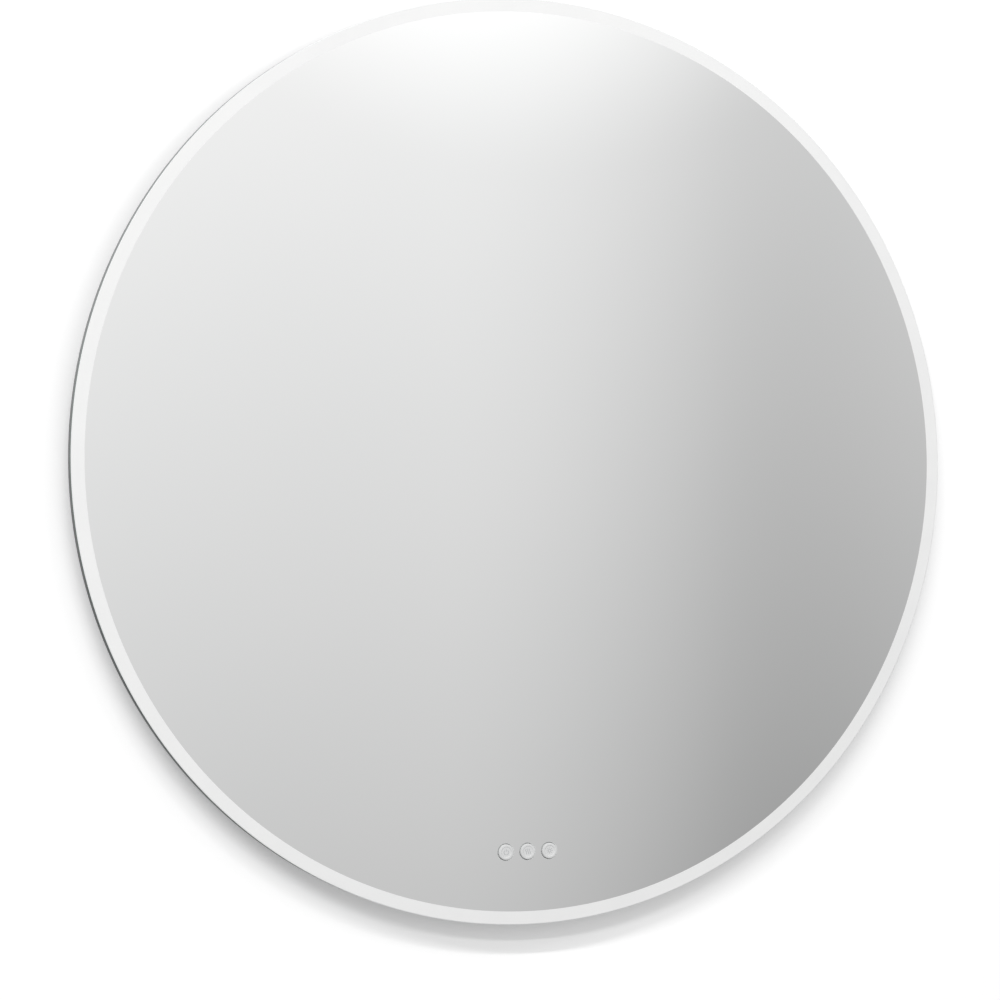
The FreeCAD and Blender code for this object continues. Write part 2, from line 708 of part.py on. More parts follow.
def makeHeatingPad():
    half = "dims.padSize / 2"
    corners = (f"(-{half})", f"(-{half})", half, half)
    padBack = f"({coatBack} + dims.padThick)"
    heater = block("heating_pad", *corners, coatBack, padBack)
    roundCorners(heater, boxCorners(*corners), "dims.padCorner")
    sketch = newSketch(heater, "pad_outlet", "XZ_Plane", f"{padBack} + dims.padBlockDeep")
    drawBox(sketch, "(-dims.padBlockX - dims.padBlockWidth / 2)", f"{padBlockTop} - dims.padBlockTall",
            "(-dims.padBlockX + dims.padBlockWidth / 2)", padBlockTop)
    pad(heater, sketch, "dims.padBlockDeep")


# ---- driver, terminals, mains entry and earth --------------------------------------------------

def makeDriver():
    half = "dims.driverWide / 2"
    corners = (driverLeft, f"(-{half})", driverRight, half)
    driver = block("led_driver", *corners, f"{panelFront} - dims.driverTall", panelFront)
    roundCorners(driver, boxCorners(*corners), "dims.driverCorner")
    sketch = newSketch(driver, "driver_ears", "XZ_Plane", panelFront)
    drawBox(sketch, f"{driverLeft} - dims.earLong", "(-dims.earWide / 2)",
            f"{driverRight} + dims.earLong", "dims.earWide / 2")
    pad(driver, sketch, "dims.earThick")
    drill(driver, "driver_ear_holes", driverScrewPoints, "dims.smallRadius + dims.fitPlay")


def makeSmallScrews(label, points, seat):
    screws(label, points, "dims.smallRadius", "dims.smallHead", "dims.smallDrive",
           f"({seat} - dims.smallHeadTall)", seat, panelBack)


def makeTerminalBlock():
    wayZ = ["(-dims.wayPitch)", "0", "dims.wayPitch"]
    top = f"({panelFront} - dims.blockTall)"
    ways = newBody("terminal_block")
    sketch = newSketch(ways, "terminal_block_outline", "XZ_Plane", panelFront)
    drawBox(sketch, blockLeft, "(-dims.blockLong / 2)", blockRight, "dims.blockLong / 2")
    pad(ways, sketch, "dims.blockTall")
    wires = newSketch(ways, "wire_holes", "YZ_Plane")
    for up in wayZ:
        drawCircle(wires, wayLevel, up, "dims.wayRadius")
    pierce(ways, wires)
    wells = [(f"{blockLeft} + dims.clampScrewIn", up) for up in wayZ]
    wells += [(f"{blockRight} - dims.clampScrewIn", up) for up in wayZ]
    sketch = circlesSketch(ways, "screw_wells", wells, "dims.clampScrewRadius + dims.fitPlay", top)
    sink(ways, sketch, f"({wayLevel}) - ({top})", False)
    sketch = circlesSketch(ways, "fixing_holes", blockScrewPoints, "dims.smallRadius + dims.fitPlay", top)
    sink(ways, sketch, "dims.blockTall", False)
    sketch = circlesSketch(ways, "fixing_wells", blockScrewPoints, "dims.smallHead + dims.fitPlay", top)
    sink(ways, sketch, "dims.smallHeadTall", False)
    makeSmallScrews("block_screws", blockScrewPoints, f"({top} + dims.smallHeadTall)")
    screwTop = f"({top} + dims.wellDeep)"
    pins("terminal_screws", wells, [("dims.clampScrewRadius", screwTop, f"{top} + dims.clampScrewLong")])


wayLevel = f"({panelFront} - dims.wayHeight)"


def makeGrommet():
    corners = [
        ("dims.grommetBore", f"{panelFront} - dims.grommetLipTall"),
        ("dims.grommetLip", f"{panelFront} - dims.grommetLipTall"),
        ("dims.grommetLip", panelFront),
        ("dims.grommetNeck", panelFront),
        ("dims.grommetNeck", panelBack),
        ("dims.grommetLip", panelBack),
        ("dims.grommetLip", f"{panelBack} + dims.grommetLipTall"),
        ("dims.grommetBore", f"{panelBack} + dims.grommetLipTall"),
    ]
    turned("mains_grommet", corners, *grommetPoint)


def makeClamp():
    left = "(dims.clampX - dims.clampWide / 2)"
    right = "(dims.clampX + dims.clampWide / 2)"
    top = f"({panelFront} - dims.clampTall)"
    clamp = block("cord_clamp", left, "(-dims.clampLong / 2)", right, "dims.clampLong / 2", top, panelFront)
    drill(clamp, "clamp_screw_holes", clampScrewPoints, "dims.smallRadius + dims.fitPlay")
    sketch = newSketch(clamp, "cord_channel", "YZ_Plane")
    drawCircle(sketch, f"{panelFront} - dims.clampLift", "0", "dims.clampBore")
    pierce(clamp, sketch)
    makeSmallScrews("clamp_screws", clampScrewPoints, top)


def makeEarthStud():
    washerFront = f"({panelFront} - dims.earthWasherTall)"
    nutFront = f"({washerFront} - dims.earthNutTall)"
    pins("earth_stud", [earthPoint], [("dims.earthStud", f"{panelFront} - dims.earthLong", panelBack)])
    washer = pins("earth_washer", [earthPoint], [("dims.earthWasher", washerFront, panelFront)])
    drill(washer, "washer_bore", [earthPoint], "dims.earthStud + dims.fitPlay")
    nut = pins("earth_nut", [earthPoint], [("dims.earthNut", nutFront, washerFront)])
    drill(nut, "earth_nut_bore", [earthPoint], "dims.earthStud + dims.fitPlay")


# ---- buttons and their switches ----------------------------------------------------------------

housingBack = f"({tapeBack} + dims.housingDeep)"
housingHalf = f"(dims.buttonPitch + {capFlangeRadius} + dims.housingEnd)"
housingBox = (f"(-{housingHalf})", f"({buttonZ} - dims.housingTall / 2)",
              housingHalf, f"({buttonZ} + dims.housingTall / 2)")
capStop = f"({tapeBack} + dims.housingFront)"
switchFront = f"({housingBack} - dims.switchTall)"
pinFront = f"({switchFront} - dims.pinOut)"
circuitBack = f"({housingBack} + dims.circuitThick)"
boardScrewX = f"({housingHalf} - dims.boardScrewIn)"
boardScrewPoints = [(f"(-{boardScrewX})", buttonZ), (boardScrewX, buttonZ)]


def makeControlHousing():
    tape = block("control_tape", *housingBox, coatBack, tapeBack)
    drill(tape, "tape_holes", buttonPoints, "dims.capRadius + dims.glassPlay")
    housing = block("control_housing", *housingBox, tapeBack, housingBack)
    drill(housing, "cap_guides", buttonPoints, "dims.capRadius + dims.guidePlay")
    sketch = circlesSketch(housing, "flange_guides", buttonPoints,
                           f"{capFlangeRadius} + dims.guidePlay", housingBack)
    sink(housing, sketch, "dims.housingDeep - dims.housingFront", True)
    sketch = newSketch(housing, "switch_pocket", "XZ_Plane", housingBack)
    reach = "(dims.buttonPitch + dims.pocketEnd)"
    drawBox(sketch, f"(-{reach})", f"{buttonZ} - dims.pocketTall / 2", reach, f"{buttonZ} + dims.pocketTall / 2")
    sink(housing, sketch, "dims.pocketDeep", True)
    sketch = circlesSketch(housing, "board_screw_pilots", boardScrewPoints,
                           "dims.boardScrewRadius + dims.fitPlay", housingBack)
    sink(housing, sketch, "dims.boardScrewLong", True)


def makeControlBoard():
    board = block("control_board", *housingBox, housingBack, circuitBack)
    drill(board, "board_holes", boardScrewPoints, "dims.boardScrewRadius + dims.holePlay")
    screws("board_screws", boardScrewPoints, "dims.boardScrewRadius", "dims.boardScrewHead",
           "dims.boardScrewRadius", circuitBack, f"{circuitBack} + dims.boardScrewTall",
           f"({circuitBack} - dims.boardScrewLong)")
    block("board_plug", "(-dims.plugWide / 2)", f"{buttonZ} - dims.plugTall / 2", "dims.plugWide / 2",
          f"{buttonZ} + dims.plugTall / 2", circuitBack, plugBack)


plugBack = f"({circuitBack} + dims.plugDeep)"


def makeSwitches():
    switches = newBody("tact_switches")
    sketch = newSketch(switches, "switch_outlines", "XZ_Plane", housingBack)
    half = "dims.switchSide / 2"
    for across, up in buttonPoints:
        drawBox(sketch, f"{across} - {half}", f"{up} - {half}", f"{across} + {half}", f"{up} + {half}")
    pad(switches, sketch, "dims.switchTall")
    sketch = circlesSketch(switches, "pin_holes", buttonPoints, "dims.pinRadius + dims.pinPlay", switchFront)
    sink(switches, sketch, "dims.pinHole", False)


def makeButton(side, across):
    cap = "dims.capRadius"
    face = f"({glassFront} - dims.capProud)"
    dish = f"({cap} - dims.dishRim)"
    flangeRear = f"({capStop} + dims.capFlangeThick)"
    corners = [
        ("0", f"{face} + dims.dishDeep"),
        (f"{dish} - dims.dishDeep", f"{face} + dims.dishDeep"),
        (dish, face),
        (f"{cap} - dims.capRound", face),
        (cap, f"{face} + dims.capRound"),
        (cap, capStop),
        (capFlangeRadius, capStop),
        (capFlangeRadius, flangeRear),
        ("dims.stemRadius", flangeRear),
        ("dims.stemRadius", pinFront),
        ("0", pinFront),
    ]
    turned(f"button_{side}", corners, across, buttonZ)
    pinCorners = [
        ("0", pinFront),
        ("dims.pinRadius", pinFront),
        ("dims.pinRadius", f"{switchFront} + dims.pinIn"),
        ("0", f"{switchFront} + dims.pinIn"),
    ]
    turned(f"switch_pin_{side}", pinCorners, across, buttonZ)


# ---- leads -------------------------------------------------------------------------------------

def makeBush():
    body = newBody("lead_bush")
    sketch = newSketch(body, "bush_section", "XY_Plane")
    bore = f"{bushLevel} + dims.ledLeadRadius + dims.bushPlay"
    neck = f"{bushLevel} + dims.bushNeck"
    lip = f"{bushLevel} + dims.bushLip"
    outside = f"(-{chassisRadius})"
    inside = f"(-{chassisInner} + dims.fitPlay)"
    drawOutline(sketch, [
        (f"{outside} - dims.bushLipTall", bore),
        (f"{outside} - dims.bushLipTall", lip),
        (outside, lip),
        (outside, neck),
        (inside, neck),
        (inside, lip),
        (f"{inside} + dims.bushLipTall", lip),
        (f"{inside} + dims.bushLipTall", bore),
    ])
    ends = [FreeCAD.Vector(number(across), number(bushLevel), 0) for across in (outside, inside)]
    axis = sketch.addGeometry(Part.LineSegment(*ends), True)
    pin(sketch, axis, 1, outside, bushLevel)
    pin(sketch, axis, 2, inside, bushLevel)
    feature = body.newObject("PartDesign::Revolution", "bush_turn")
    feature.Profile = sketch
    feature.ReferenceAxis = (sketch, ["Axis0"])
    feature.Angle = 360
    doc.recompute()


def makeLeads():
    stripEdge = f"({channelMiddle} - dims.boardWidth / 2)"
    driverSide = "(dims.driverWide / 2)"
    lead("led_lead", [
        (f"-{stripEdge} + 0.2", ledLeadLevel, "0"),
        (f"-{channelFlangeBore} + 2", ledLeadLevel, "0"),
        (f"-{chassisRadius} - 6", bushLevel, "0"),
        (f"-{chassisRadius} + 32", bushLevel, "0"),
        (f"{driverLeft} - 55", wayLevel, "0"),
        (driverLeft, wayLevel, "0"),
    ], "dims.ledLeadRadius")
    lead("supply_lead", [
        (driverRight, wayLevel, "dims.wayPitch"),
        (f"{blockLeft} + dims.leadIn", wayLevel, "dims.wayPitch"),
    ], "dims.supplyLeadRadius")
    outletLevel = f"({coatBack} + dims.padThick + dims.padBlockDeep / 2)"
    lead("pad_lead", [
        ("-dims.padBlockX", outletLevel, padBlockTop),
        ("-dims.padBlockX", outletLevel, f"{padBlockTop} + 24"),
        ("-dims.padBlockX + 4", f"{wayLevel} - 7", f"{padBlockTop} + 49"),
        (f"{blockLeft} - 29", f"{wayLevel} - 1", "-18"),
        (f"{blockLeft} - 17", wayLevel, "0"),
        (f"{blockLeft} + dims.leadIn", wayLevel, "0"),
    ], "dims.thinLeadRadius")
    plugTop = f"({buttonZ} + dims.plugTall / 2)"
    plugLevel = f"({circuitBack} + dims.plugDeep / 2)"
    # The switch lead climbs from its plug to the underside of the driver, each point a share of the
    # way across and of the way up.
    across = f"({driverRight} - dims.switchLeadIn)"
    rise = f"(-{driverSide} - {plugTop})"
    shares = [(0, 0), (0, 0.14), (0.14, 0.29), (0.35, 0.46), (0.65, 0.63), (1, 0.81), (1, 1)]
    levels = [plugLevel, plugLevel, plugLevel, plugLevel, plugLevel, wayLevel, wayLevel]
    lead("switch_lead", [
        (f"{across} * {sideShare}", level, f"{plugTop} + {rise} * {upShare}")
        for (sideShare, upShare), level in zip(shares, levels)
    ], "dims.thinLeadRadius")
    washerEdge = "(-dims.earthX - dims.earthWasher)"
    tagLevel = f"({panelFront} - dims.earthWasherTall - dims.thinLeadRadius - 0.1)"
    lead("earth_lead", [
        (f"{blockLeft} + dims.leadIn", wayLevel, "-dims.wayPitch"),
        (f"{blockLeft} - 12", wayLevel, "-dims.wayPitch"),
        (f"{blockLeft} - 20", f"{wayLevel} + 2", "-dims.wayPitch - 18"),
        (f"{blockLeft} - 14", tagLevel, "-dims.earthDrop"),
        (f"{washerEdge} + 0.8", tagLevel, "-dims.earthDrop"),
    ], "dims.thinLeadRadius")


# ---- the whole object --------------------------------------------------------------------------

makeGlass()
makeSilver()
makeFrostedRing()
makeChannel()
makeDiffuser()
makeLightStrip()
makeTapes()
makeChassis()
makeGasket()
makeRivetNuts()
makePanelScrews()
makePanel()
makeBracket()
makeRail()
makeRivets()
makeBumpers()
makeHeatingPad()
makeDriver()
makeSmallScrews("driver_screws", driverScrewPoints, f"({panelFront} - dims.earThick)")
makeTerminalBlock()
makeGrommet()
makeClamp()
makeEarthStud()
makeControlHousing()
makeControlBoard()
makeSwitches()
for side, across in buttonPlaces.items():
    makeButton(side, across)
makeBush()
makeLeads()

doc.recompute()
for item in doc.Objects:
    if {"Invalid", "Error"} & set(item.State):
        raise RuntimeError(f"{item.Label} did not compute")
os.makedirs("parts", exist_ok=True)
for piece in pieces:
    if piece.Shape.isNull() or not piece.Shape.isValid() or not piece.Shape.Solids:
        raise RuntimeError(f"{piece.Label} has no sound solid")
for piece in pieces:
    piece.Shape.exportStep(f"parts/{piece.Label}.step")
print(f"{len(pieces)} pieces written")
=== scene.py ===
import math

import bmesh
import bpy
from mathutils import Matrix, Vector


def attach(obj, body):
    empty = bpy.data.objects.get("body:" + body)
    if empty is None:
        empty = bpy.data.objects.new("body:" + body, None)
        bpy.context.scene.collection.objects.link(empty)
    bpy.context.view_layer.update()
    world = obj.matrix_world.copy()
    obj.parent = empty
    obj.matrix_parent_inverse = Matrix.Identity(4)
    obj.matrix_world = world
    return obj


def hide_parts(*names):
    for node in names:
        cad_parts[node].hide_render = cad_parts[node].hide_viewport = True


# A round lighted bathroom mirror on its wall bracket. Sizes in the dictionaries are millimetres,
# and every piece is scaled to metres when its mesh is done.
mm = 0.001
scene = bpy.context.scene

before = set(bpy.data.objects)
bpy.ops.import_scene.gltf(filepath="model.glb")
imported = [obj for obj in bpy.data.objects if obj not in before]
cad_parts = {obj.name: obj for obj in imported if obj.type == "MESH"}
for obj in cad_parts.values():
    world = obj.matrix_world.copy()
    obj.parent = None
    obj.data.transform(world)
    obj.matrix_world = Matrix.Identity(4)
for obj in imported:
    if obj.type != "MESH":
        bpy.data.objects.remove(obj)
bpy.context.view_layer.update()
print("frame loaded")

photoView = {
    "place": (-0.9381, -2.4933, -0.0711),  # metres
    "turn": 20.41,  # degrees to the right of straight ahead
    "tilt": 0.81,  # degrees upwards
    "lens": 109.45,
    "sensor": 36,
}


def makeCamera():
    data = bpy.data.cameras.new("photoCamera")
    data.sensor_width = photoView["sensor"]
    data.lens = photoView["lens"]
    camera = bpy.data.objects.new("photoCamera", data)
    scene.collection.objects.link(camera)
    camera.location = photoView["place"]
    camera.rotation_euler = (math.radians(90 + photoView["tilt"]), 0, math.radians(-photoView["turn"]))
    scene.camera = camera


# Adds a shader node, links what comes from another node and sets what is a plain value
def addNode(tree, kind, inputs=None, **settings):
    node = tree.nodes.new(kind)
    for key, value in settings.items():
        setattr(node, key, value)
    for key, value in (inputs or {}).items():
        if isinstance(value, bpy.types.NodeSocket):
            tree.links.new(value, node.inputs[key])
        else:
            node.inputs[key].default_value = value
    return node


def maths(tree, operation, first, second=0.0):
    return addNode(tree, "ShaderNodeMath", {0: first, 1: second}, operation=operation).outputs[0]


def softStep(tree, value, low, high, fromTone=0.0, toTone=1.0):
    inputs = {"Value": value, "From Min": low, "From Max": high, "To Min": fromTone, "To Max": toTone}
    return addNode(tree, "ShaderNodeMapRange", inputs, interpolation_type="SMOOTHSTEP").outputs[0]


# Places on the object in millimetres, stretched along each axis
def spots(tree, stretch=(1, 1, 1)):
    metres = addNode(tree, "ShaderNodeTexCoord").outputs["Object"]
    scale = [share / mm for share in stretch]
    return addNode(tree, "ShaderNodeVectorMath", {0: metres, 1: scale}, operation="MULTIPLY").outputs[0]


def noise(tree, size, detail, stretch=(1, 1, 1)):
    inputs = {"Vector": spots(tree, stretch), "Scale": 1 / size, "Detail": detail}
    return addNode(tree, "ShaderNodeTexNoise", inputs).outputs[0]


def tones(tree, value, dark, light, low=0.3, high=0.7):
    ramp = addNode(tree, "ShaderNodeValToRGB", {0: value})
    ramp.color_ramp.elements[0].position = low
    ramp.color_ramp.elements[1].position = high
    ramp.color_ramp.elements[0].color = (*dark, 1)
    ramp.color_ramp.elements[1].color = (*light, 1)
    return ramp.outputs[0]


def bump(tree, height, depth):
    inputs = {"Height": height, "Distance": depth * mm, "Strength": 1.0}
    return addNode(tree, "ShaderNodeBump", inputs).outputs[0]


# A material with one Principled shader. The constant settings go on its own sockets.
def newFinish(name, **settings):
    material = bpy.data.materials.new(name)
    material.use_nodes = True
    tree = material.node_tree
    shader = tree.nodes["Principled BSDF"]
    for key, value in settings.items():
        shader.inputs[key.replace("_", " ")].default_value = value
    return material, tree, shader


def feed(tree, shader, **sources):
    for key, source in sources.items():
        tree.links.new(source, shader.inputs[key.replace("_", " ")])


# Bright silvering behind the clear glass, faintly smeared
def silveredGlass():
    material, tree, shader = newFinish("silveredGlass", Metallic=1.0)
    smear = noise(tree, 60, 4)
    cloud = noise(tree, 220, 1)
    feed(tree, shader, Base_Color=tones(tree, cloud, (0.945, 0.95, 0.948), (0.955, 0.957, 0.955)),
         Roughness=softStep(tree, smear, 0.45, 0.8, 0.012, 0.03))
    return material


def frostedBand():
    material, tree, shader = newFinish("frostedBand", Coat_Weight=1.0, Coat_Roughness=0.03, Coat_IOR=1.5)
    grain = noise(tree, 0.35, 2)
    cloud = noise(tree, 30, 3)
    feed(tree, shader, Base_Color=tones(tree, cloud, (0.868, 0.869, 0.868), (0.888, 0.889, 0.886)),
         Roughness=softStep(tree, grain, 0.2, 0.8, 0.42, 0.6), Normal=bump(tree, grain, 0.01))
    return material


# Ground glass on the edge's bevels and the button holes' walls: pale as ground glass is, and brightened
# nearly to white as a painted highlight along the rim
def groundArrisWithHighlight():
    material, tree, shader = newFinish("groundArrisWithHighlight", Specular_IOR_Level=0.4)
    grain = noise(tree, 0.2, 2)
    feed(tree, shader, Base_Color=tones(tree, grain, (0.88, 0.90, 0.895), (0.95, 0.965, 0.96)),
         Roughness=softStep(tree, grain, 0.2, 0.8, 0.3, 0.55), Normal=bump(tree, grain, 0.02))
    return material


def polishedEdge():
    material, tree, shader = newFinish("polishedEdge", IOR=1.52)
    depth = noise(tree, 9, 2, (1, 6, 1))
    feed(tree, shader, Base_Color=tones(tree, depth, (0.13, 0.17, 0.155), (0.19, 0.235, 0.22)),
         Roughness=softStep(tree, noise(tree, 2, 2), 0.3, 0.7, 0.05, 0.16))
    return material


def backPaint():
    material, tree, shader = newFinish("backPaint")
    flow = noise(tree, 1.6, 3)
    cloud = noise(tree, 40, 3)
    feed(tree, shader, Base_Color=tones(tree, cloud, (0.20, 0.235, 0.26), (0.25, 0.285, 0.31)),
         Roughness=softStep(tree, flow, 0.3, 0.7, 0.35, 0.55), Normal=bump(tree, flow, 0.03))
    return material


# Streaks that run round the mirror's axis, as turning and brushing leave them
def roundStreaks(tree, pitch):
    split = addNode(tree, "ShaderNodeSeparateXYZ", {0: spots(tree)})
    across, level, up = split.outputs
    acrossSquared = maths(tree, "MULTIPLY", across, across)
    upSquared = maths(tree, "MULTIPLY", up, up)
    radius = maths(tree, "SQRT", maths(tree, "ADD", acrossSquared, upSquared))
    drawnOut = 0.01  # how little a streak changes on its way round
    slowAcross = maths(tree, "MULTIPLY", across, drawnOut)
    slowUp = maths(tree, "MULTIPLY", up, drawnOut)
    where = addNode(tree, "ShaderNodeCombineXYZ", {0: radius, 1: level, 2: slowAcross}).outputs[0]
    inputs = {"Vector": where, "W": slowUp, "Scale": 1 / pitch, "Detail": 4}
    return addNode(tree, "ShaderNodeTexNoise", inputs, noise_dimensions="4D").outputs[0]


# Aluminium with its colour darkened to a dark grey as painted shade: the dark tone stands in for the shade
# and dark reflection along the mirror's side
def aluminiumDarkenedForShade():
    material, tree, shader = newFinish("aluminiumDarkenedForShade", Metallic=1.0)
    streaks = roundStreaks(tree, 0.5)
    feed(tree, shader, Base_Color=tones(tree, streaks, (0.28, 0.285, 0.29), (0.36, 0.365, 0.37)),
         Roughness=softStep(tree, streaks, 0.25, 0.75, 0.3, 0.45), Normal=bump(tree, streaks, 0.012))
    return material


def powderCoat():
    material, tree, shader = newFinish("powderCoat", Coat_Weight=0.15, Coat_Roughness=0.3)
    peel = noise(tree, 1.1, 2)
    cloud = noise(tree, 70, 3)
    feed(tree, shader, Base_Color=tones(tree, cloud, (0.60, 0.61, 0.615), (0.655, 0.66, 0.665)),
         Roughness=softStep(tree, peel, 0.3, 0.7, 0.42, 0.58), Normal=bump(tree, peel, 0.05))
    return material


# Zinc flakes of a few millimetres under a fine cloud
def zincPlate():
    material, tree, shader = newFinish("zincPlate", Metallic=1.0)
    inputs = {"Vector": spots(tree), "Scale": 0.28, "Randomness": 1.0}
    flakes = addNode(tree, "ShaderNodeTexVoronoi", inputs).outputs["Color"]
    grey = addNode(tree, "ShaderNodeRGBToBW", {0: flakes}).outputs[0]
    halfFlakes = maths(tree, "MULTIPLY", grey, 0.5)
    halfCloud = maths(tree, "MULTIPLY", noise(tree, 0.8, 3), 0.5)
    mixed = maths(tree, "ADD", halfFlakes, halfCloud)
    feed(tree, shader, Base_Color=tones(tree, mixed, (0.58, 0.595, 0.615), (0.68, 0.69, 0.705)),
         Roughness=softStep(tree, mixed, 0.25, 0.75, 0.3, 0.48),
         Normal=bump(tree, noise(tree, 0.6, 2), 0.01))
    return material


def brightSteel():
    material, tree, shader = newFinish("brightSteel", Metallic=1.0)
    scratch = noise(tree, 1.4, 3, (1, 4, 1))
    feed(tree, shader, Base_Color=tones(tree, scratch, (0.62, 0.63, 0.65), (0.72, 0.73, 0.74)),
         Roughness=softStep(tree, scratch, 0.3, 0.7, 0.2, 0.36), Normal=bump(tree, scratch, 0.006))
    return material


def brassScrew():
    material, tree, shader = newFinish("brassScrew", Metallic=1.0)
    wear = noise(tree, 1.6, 3)
    feed(tree, shader, Base_Color=tones(tree, wear, (0.70, 0.53, 0.24), (0.80, 0.63, 0.32)),
         Roughness=softStep(tree, wear, 0.3, 0.7, 0.22, 0.4), Normal=bump(tree, wear, 0.008))
    return material


def blackFoam():
    material, tree, shader = newFinish("blackFoam", Specular_IOR_Level=0.25)
    inputs = {"Vector": spots(tree), "Scale": 2.6}
    cells = addNode(tree, "ShaderNodeTexVoronoi", inputs).outputs["Distance"]
    feed(tree, shader, Base_Color=tones(tree, cells, (0.015, 0.015, 0.016), (0.05, 0.05, 0.052), 0.0, 0.8),
         Roughness=softStep(tree, cells, 0.0, 0.8, 0.75, 0.95), Normal=bump(tree, cells, 0.12))
    return material


def blackRubber():
    material, tree, shader = newFinish("blackRubber", Specular_IOR_Level=0.35)
    bloom = noise(tree, 5, 4)
    grain = noise(tree, 0.35, 2)
    feed(tree, shader, Base_Color=tones(tree, bloom, (0.022, 0.022, 0.023), (0.05, 0.05, 0.051)),
         Roughness=softStep(tree, bloom, 0.3, 0.7, 0.5, 0.72), Normal=bump(tree, grain, 0.03))
    return material


# Printed heater tracks that show through an amber film
def heaterFilm():
    material, tree, shader = newFinish("heaterFilm", Coat_Weight=0.6, Coat_Roughness=0.12)
    inputs = {"Vector": spots(tree), "Scale": 0.022, "Distortion": 1.5, "Detail": 0.0}
    waves = addNode(tree, "ShaderNodeTexWave", inputs, bands_direction="Z", wave_profile="TRI")
    tracks = waves.outputs[1]
    feed(tree, shader, Base_Color=tones(tree, tracks, (0.30, 0.20, 0.10), (0.70, 0.44, 0.16), 0.18, 0.24),
         Roughness=softStep(tree, noise(tree, 8, 3), 0.3, 0.7, 0.3, 0.5),
         Normal=bump(tree, tracks, 0.04))
    return material


def mouldedPlastic(name, dark, light, rough, grainSize, **settings):
    material, tree, shader = newFinish(name, **settings)
    grain = noise(tree, grainSize, 2)
    feed(tree, shader, Base_Color=tones(tree, noise(tree, 12, 3), dark, light),
         Roughness=softStep(tree, grain, 0.3, 0.7, rough - 0.07, rough + 0.1),
         Normal=bump(tree, grain, 0.025))
    return material


# Solder mask with the tracks under it
def solderMask():
    material, tree, shader = newFinish("solderMask", Coat_Weight=0.5, Coat_Roughness=0.1)
    tracks = addNode(tree, "ShaderNodeTexVoronoi", {"Vector": spots(tree), "Scale": 0.25},
                     distance="MANHATTAN", feature="F2").outputs["Distance"]
    feed(tree, shader, Base_Color=tones(tree, tracks, (0.02, 0.20, 0.09), (0.06, 0.30, 0.14), 0.45, 0.5),
         Roughness=softStep(tree, tracks, 0.4, 0.6, 0.25, 0.4), Normal=bump(tree, tracks, 0.03))
    return material


# Yellow silicone over the light strip, with the chips' darker places at their pitch
def phosphorLine():
    material, tree, shader = newFinish("phosphorLine", Subsurface_Weight=0.15)
    split = addNode(tree, "ShaderNodeSeparateXYZ", {0: spots(tree)})
    angle = maths(tree, "ARCTAN2", split.outputs[2], split.outputs[0])
    chipCount = 240.0
    chips = maths(tree, "SINE", maths(tree, "MULTIPLY", angle, chipCount))
    feed(tree, shader, Base_Color=tones(tree, chips, (0.90, 0.78, 0.30), (0.93, 0.86, 0.50), 0.3, 0.9),
         Roughness=softStep(tree, noise(tree, 1.5, 3), 0.3, 0.7, 0.4, 0.6), Normal=bump(tree, chips, 0.03))
    return material


def sheath(name, dark, light):
    material, tree, shader = newFinish(name, Specular_IOR_Level=0.4)
    feed(tree, shader, Base_Color=tones(tree, noise(tree, 7, 3), dark, light),
         Roughness=softStep(tree, noise(tree, 1.2, 3), 0.3, 0.7, 0.4, 0.58),
         Normal=bump(tree, noise(tree, 0.8, 2), 0.02))
    return material


def symbolInk():
    material, tree, shader = newFinish("symbolInk", Specular_IOR_Level=0.4)
    grain = noise(tree, 0.15, 2)
    feed(tree, shader, Base_Color=tones(tree, grain, (0.40, 0.41, 0.42), (0.50, 0.51, 0.52)),
         Roughness=softStep(tree, grain, 0.3, 0.7, 0.45, 0.6))
    return material


# Every finish, made once
finishes = {
    "silveredGlass": silveredGlass(),
    "frostedBand": frostedBand(),
    "groundArrisWithHighlight": groundArrisWithHighlight(),
    "polishedEdge": polishedEdge(),
    "backPaint": backPaint(),
    "aluminiumDarkenedForShade": aluminiumDarkenedForShade(),
    "powderCoat": powderCoat(),
    "zincPlate": zincPlate(),
    "brightSteel": brightSteel(),
    "brassScrew": brassScrew(),
    "blackFoam": blackFoam(),
    "blackRubber": blackRubber(),
    "heaterFilm": heaterFilm(),
    "solderMask": solderMask(),
    "phosphorLine": phosphorLine(),
    "opal": mouldedPlastic("opal", (0.86, 0.86, 0.85), (0.90, 0.90, 0.89), 0.4, 0.5,
                           Subsurface_Weight=0.1),
    "whiteBoard": mouldedPlastic("whiteBoard", (0.80, 0.80, 0.78), (0.86, 0.86, 0.84), 0.4, 0.8),
    "whiteCase": mouldedPlastic("whiteCase", (0.78, 0.78, 0.76), (0.84, 0.84, 0.82), 0.48, 0.6),
    "greyCase": mouldedPlastic("greyCase", (0.30, 0.31, 0.32), (0.37, 0.38, 0.39), 0.5, 0.6),
    "darkCase": mouldedPlastic("darkCase", (0.06, 0.06, 0.065), (0.10, 0.10, 0.105), 0.5, 0.6),
    "capWhite": mouldedPlastic("capWhite", (0.685, 0.69, 0.69), (0.735, 0.74, 0.74), 0.4, 0.3,
                               Coat_Weight=0.15, Coat_Roughness=0.2),
    "whiteSheath": sheath("whiteSheath", (0.74, 0.74, 0.73), (0.82, 0.82, 0.81)),
    "earthSheath": sheath("earthSheath", (0.14, 0.45, 0.06), (0.70, 0.68, 0.08)),
    "symbolInk": symbolInk(),
}
print("finishes made")

